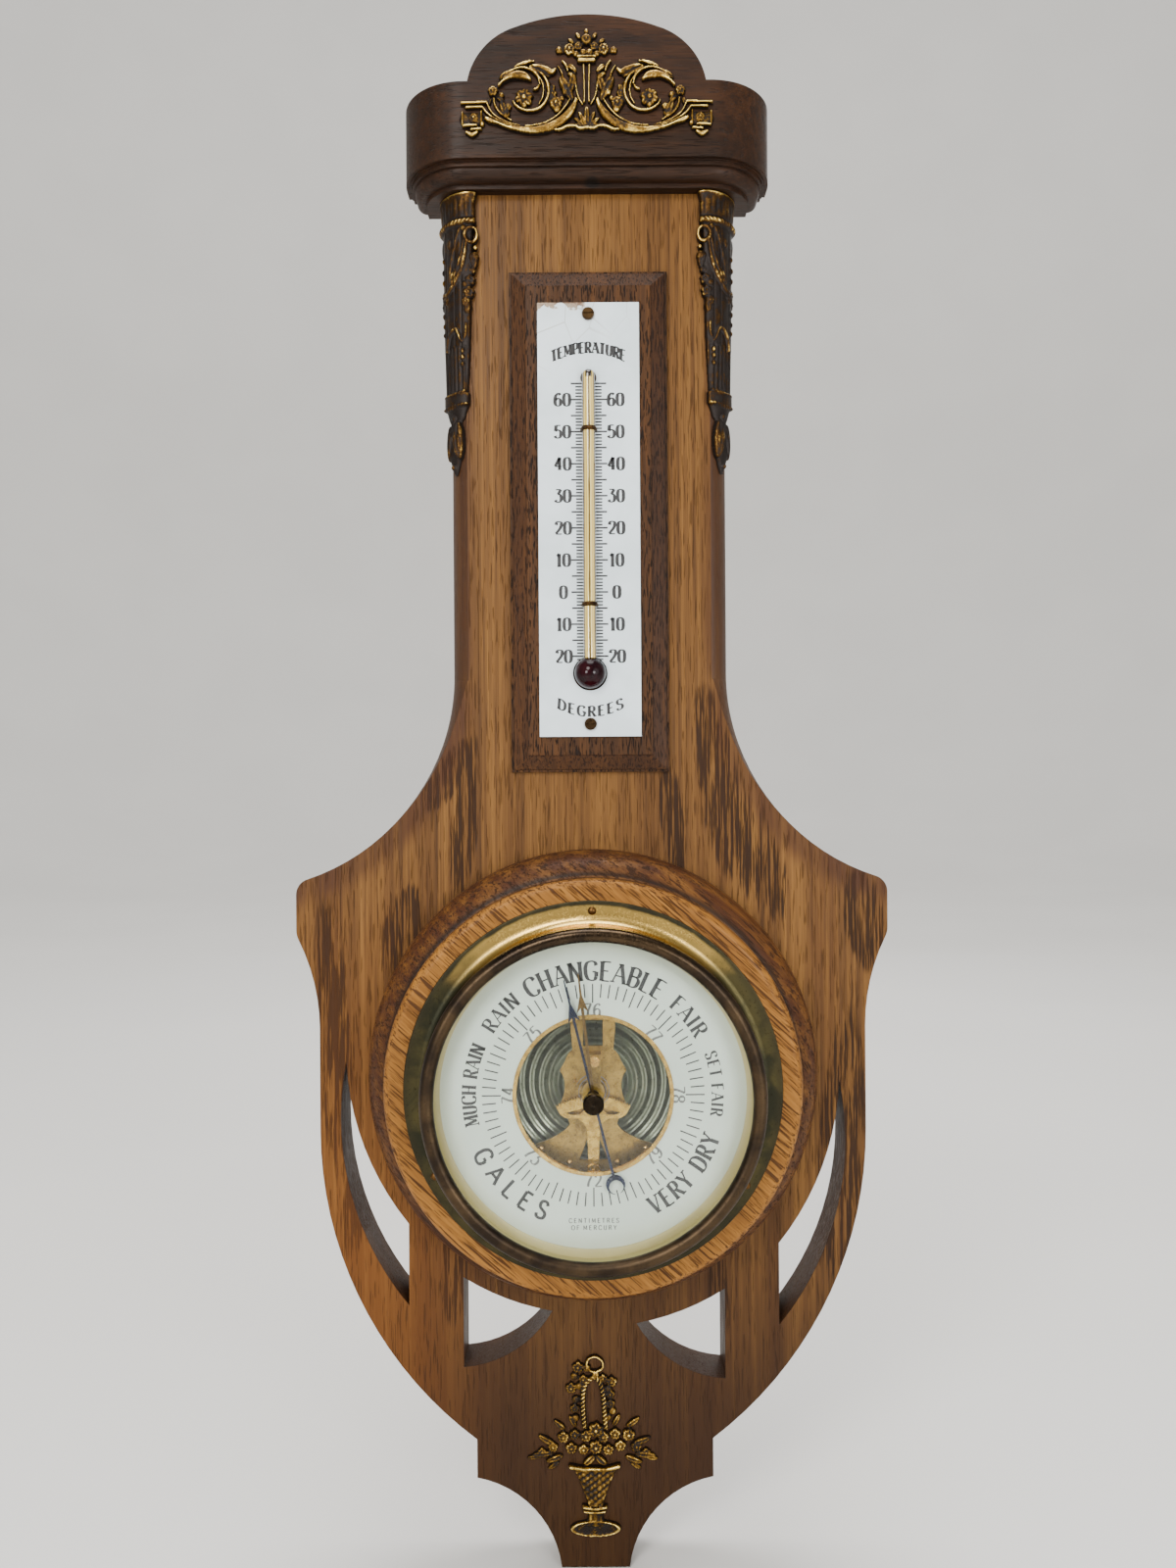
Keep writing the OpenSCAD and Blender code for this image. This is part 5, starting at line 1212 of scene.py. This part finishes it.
BASKET = shapes(stroke="""
1.9 0,7.6,.82 -2.3,6.7,1 -2.9,4.4,1 -1.6,2.4,1 .7,2.1,1 2.9,3.5,1 2.7,5.8,1 1.1,7.2,.91 0,7.6,.82;
2.5 -9.1,-33,1.54 -4.3,-33.9,1.72 .2,-34.1,1.81 4.8,-33.8,1.72 8.6,-32.8,1.54;
2.5 -4.3,-47.8,1.09 -.2,-48.3,1.27 3.9,-47.8,1.09;
2.2 -4.1,-49.5,.91 -.2,-49.9,1.09 3.5,-49.5,.91;
2.4,1.5 -3.9,-18.3,1.8 -4.4,-11.9,1.9 -4.4,-6.5,1.9 -3.6,-2.8,1.9 -1.9,-.8,1.8 0,.1,1.6;
2.4,1.5 3.9,-18.7,1.8 3.5,-13.3,1.9 3.2,-7.8,1.9 2.5,-3.7,1.9 1.4,-1.3,1.8 0,.1,1.6""",
leaf="""
-.2,-29.1 -140 5.44 2.72 2.3;
.2,-29.1 -40 5.44 2.72 2.3;
-15.2,-25.1 150 6.8 2.54 1.7;
-15.6,-28.2 185 7.71 2.54 1.7;
-12,-29.1 200 6.8 2.54 1.8;
-19.3,-29.1 190 6.35 1.99 1.5;
-11.1,-19.6 140 5.44 2.27 1.7;
-7,-18.7 120 4.99 2.09 1.8;
13.8,-25.1 20 7.25 2.54 1.7;
14.7,-28.7 -5 7.71 2.54 1.7;
11.1,-29.6 -20 6.8 2.54 1.8;
18.4,-29.6 -12 4.99 1.99 1.5;
11.6,-18.7 35 5.89 2.27 1.7;
6.6,-18.3 60 4.99 2.09 1.8;
-13.4,-31.4 215 4.99 2.09 1.5;
12.9,-31.4 -35 4.99 2.09 1.5""",
flower="""
-6.2,3.5 2.36 5 2.1;
-3,3.3 1.63 5 2.2;
-4.3,-.9 1.9 5 2;
-8.8,-4.2 2.27 5 1.9;
-7.5,-11.7 1.9 5 1.9;
3,-.7 1.81 5 2;
6.1,-2 2.27 5 2;
5.7,-6.6 1.9 5 1.9;
5.7,-10.1 1.9 5 1.9;
.2,-19.6 2.99 6 2.6;
2.9,-22.1 2.36 5 2.4;
-3.4,-21.9 2.36 5 2.3;
7.3,-21.1 2.27 5 2.3;
12.4,-21.5 2.54 6 2.3;
-7.5,-21.4 2.18 5 2.2;
-11.8,-22.3 2.36 5 2.1;
9.3,-25.5 2.27 5 2.2;
-8.8,-26.4 2.36 5 2.1;
-15.6,-26 2.09 5 1.9;
15.2,-26 2.18 5 2;
-19.7,-27.8 1.72 5 1.7;
18.8,-28.2 1.81 5 1.8;
.2,-26 2.72 6 2.5;
-4.3,-26.9 2.18 5 2.2;
4.8,-26.9 2.27 5 2.3""",
dome="""
.2,1 1.36 2.3;
-7.5,.1 1.54 1.6;
-5.7,-3.5 1.54 1.9;
-7,-8.5 1.54 1.5;
-7.2,-15.3 1.54 1.7;
4.8,-4.7 1.54 1.7;
6.4,-12.8 1.54 1.7;
4.8,-15.1 1.36 1.5""")

thermometer_marks()
dial_marks()
make_tie_turns()
make_scroll()
make_basket()
make_column_mount(-1)
make_column_mount(1)


# The stage: floor, world, lights and camera

def make_floor():
    """A pale round floor that bends up into a wall all round, far from the object."""
    level, flat, bend, height, count = -0.5265, 3.0, 1.8, 5.2, 48
    profile = [(reach, level) for reach in (0.4, 0.8, 1.2, 1.8, 2.4, flat)]
    for turn in np.linspace(0, math.pi / 2, 11)[1:]:
        profile.append((flat + bend * math.sin(turn), level + bend * (1 - math.cos(turn))))
    profile.append((flat + bend, level + height))
    points = [(0, 0, level)]
    for reach, z in profile:
        for k in range(count):
            angle = math.tau * k / count
            points.append((reach * math.cos(angle), reach * math.sin(angle), z))
    faces = [(0, 1 + k, 1 + (k + 1) % count) for k in range(count)]
    for ring in range(len(profile) - 1):
        start = 1 + ring * count
        for k in range(count):
            n = (k + 1) % count
            faces.append((start + k, start + count + k, start + count + n, start + n))
    colour = tint(214, 212, 208)
    darker = tuple(value * 0.97 for value in colour[:3]) + (1,)
    material = spotted("pale_floor", (3, 2, 0.5), colour, darker, (0.3, 0.7), Roughness=0.9)
    floor = make_mesh("floor", points, faces, material)


def make_world():
    world = bpy.data.worlds.new("studio")
    world.use_nodes = True
    shade = world.node_tree.nodes["Background"]
    shade.inputs["Color"].default_value = tint(214, 214, 214)
    shade.inputs["Strength"].default_value = 0.55
    bpy.context.scene.world = world


def make_light(name, place, aim, size, power, colour=(1, 1, 1)):
    """A round soft light of the given width, aimed at a point."""
    data = bpy.data.lights.new(name, "AREA")
    data.shape = "DISK"
    data.size = size
    data.energy = power
    data.color = colour
    light = link(bpy.data.objects.new(name, data))
    light.location = place
    light.rotation_mode = "QUATERNION"
    light.rotation_quaternion = (Vector(aim) - Vector(place)).to_track_quat("-Z", "Y")


def make_camera():
    """A level camera 450 mm in front of the back, leaning by a third of a degree."""
    data = bpy.data.cameras.new("camera")
    data.sensor_fit = "VERTICAL"
    data.sensor_height = 36
    data.lens = 26.78
    data.clip_start = 0.01
    camera = link(bpy.data.objects.new("camera", data))
    camera.location = (-0.0011, -0.450, -0.236)
    camera.rotation_euler = (math.radians(90), math.radians(0.37), 0)
    bpy.context.scene.camera = camera


make_floor()
make_world()
make_light("key", (-0.30, -0.95, 0.35), (0, 0, -0.22), 0.45, 8, (1.0, 0.97, 0.92))
make_light("fill", (0.75, -0.85, -0.10), (0, 0, -0.28), 0.9, 4, (0.96, 0.98, 1.0))
make_light("top", (0.0, -0.25, 0.9), (0, 0, -0.2), 0.7, 5)
make_light("rear", (0.2, 1.1, 0.5), (0, 0, -0.25), 0.9, 6)
make_light("front_left", (-0.34, -0.66, -0.16), (0, 0, -0.28), 0.22, 2.6)
make_light("front_right", (0.34, -0.66, -0.20), (0, 0, -0.28), 0.22, 2.2)
make_light("backdrop", (0, 0.6, 3.8), (0, 4.6, 0.4), 2.4, 150)
make_light("overhead", (0, 0, 4.4), (0, 0, -0.5), 3.0, 110)
make_camera()
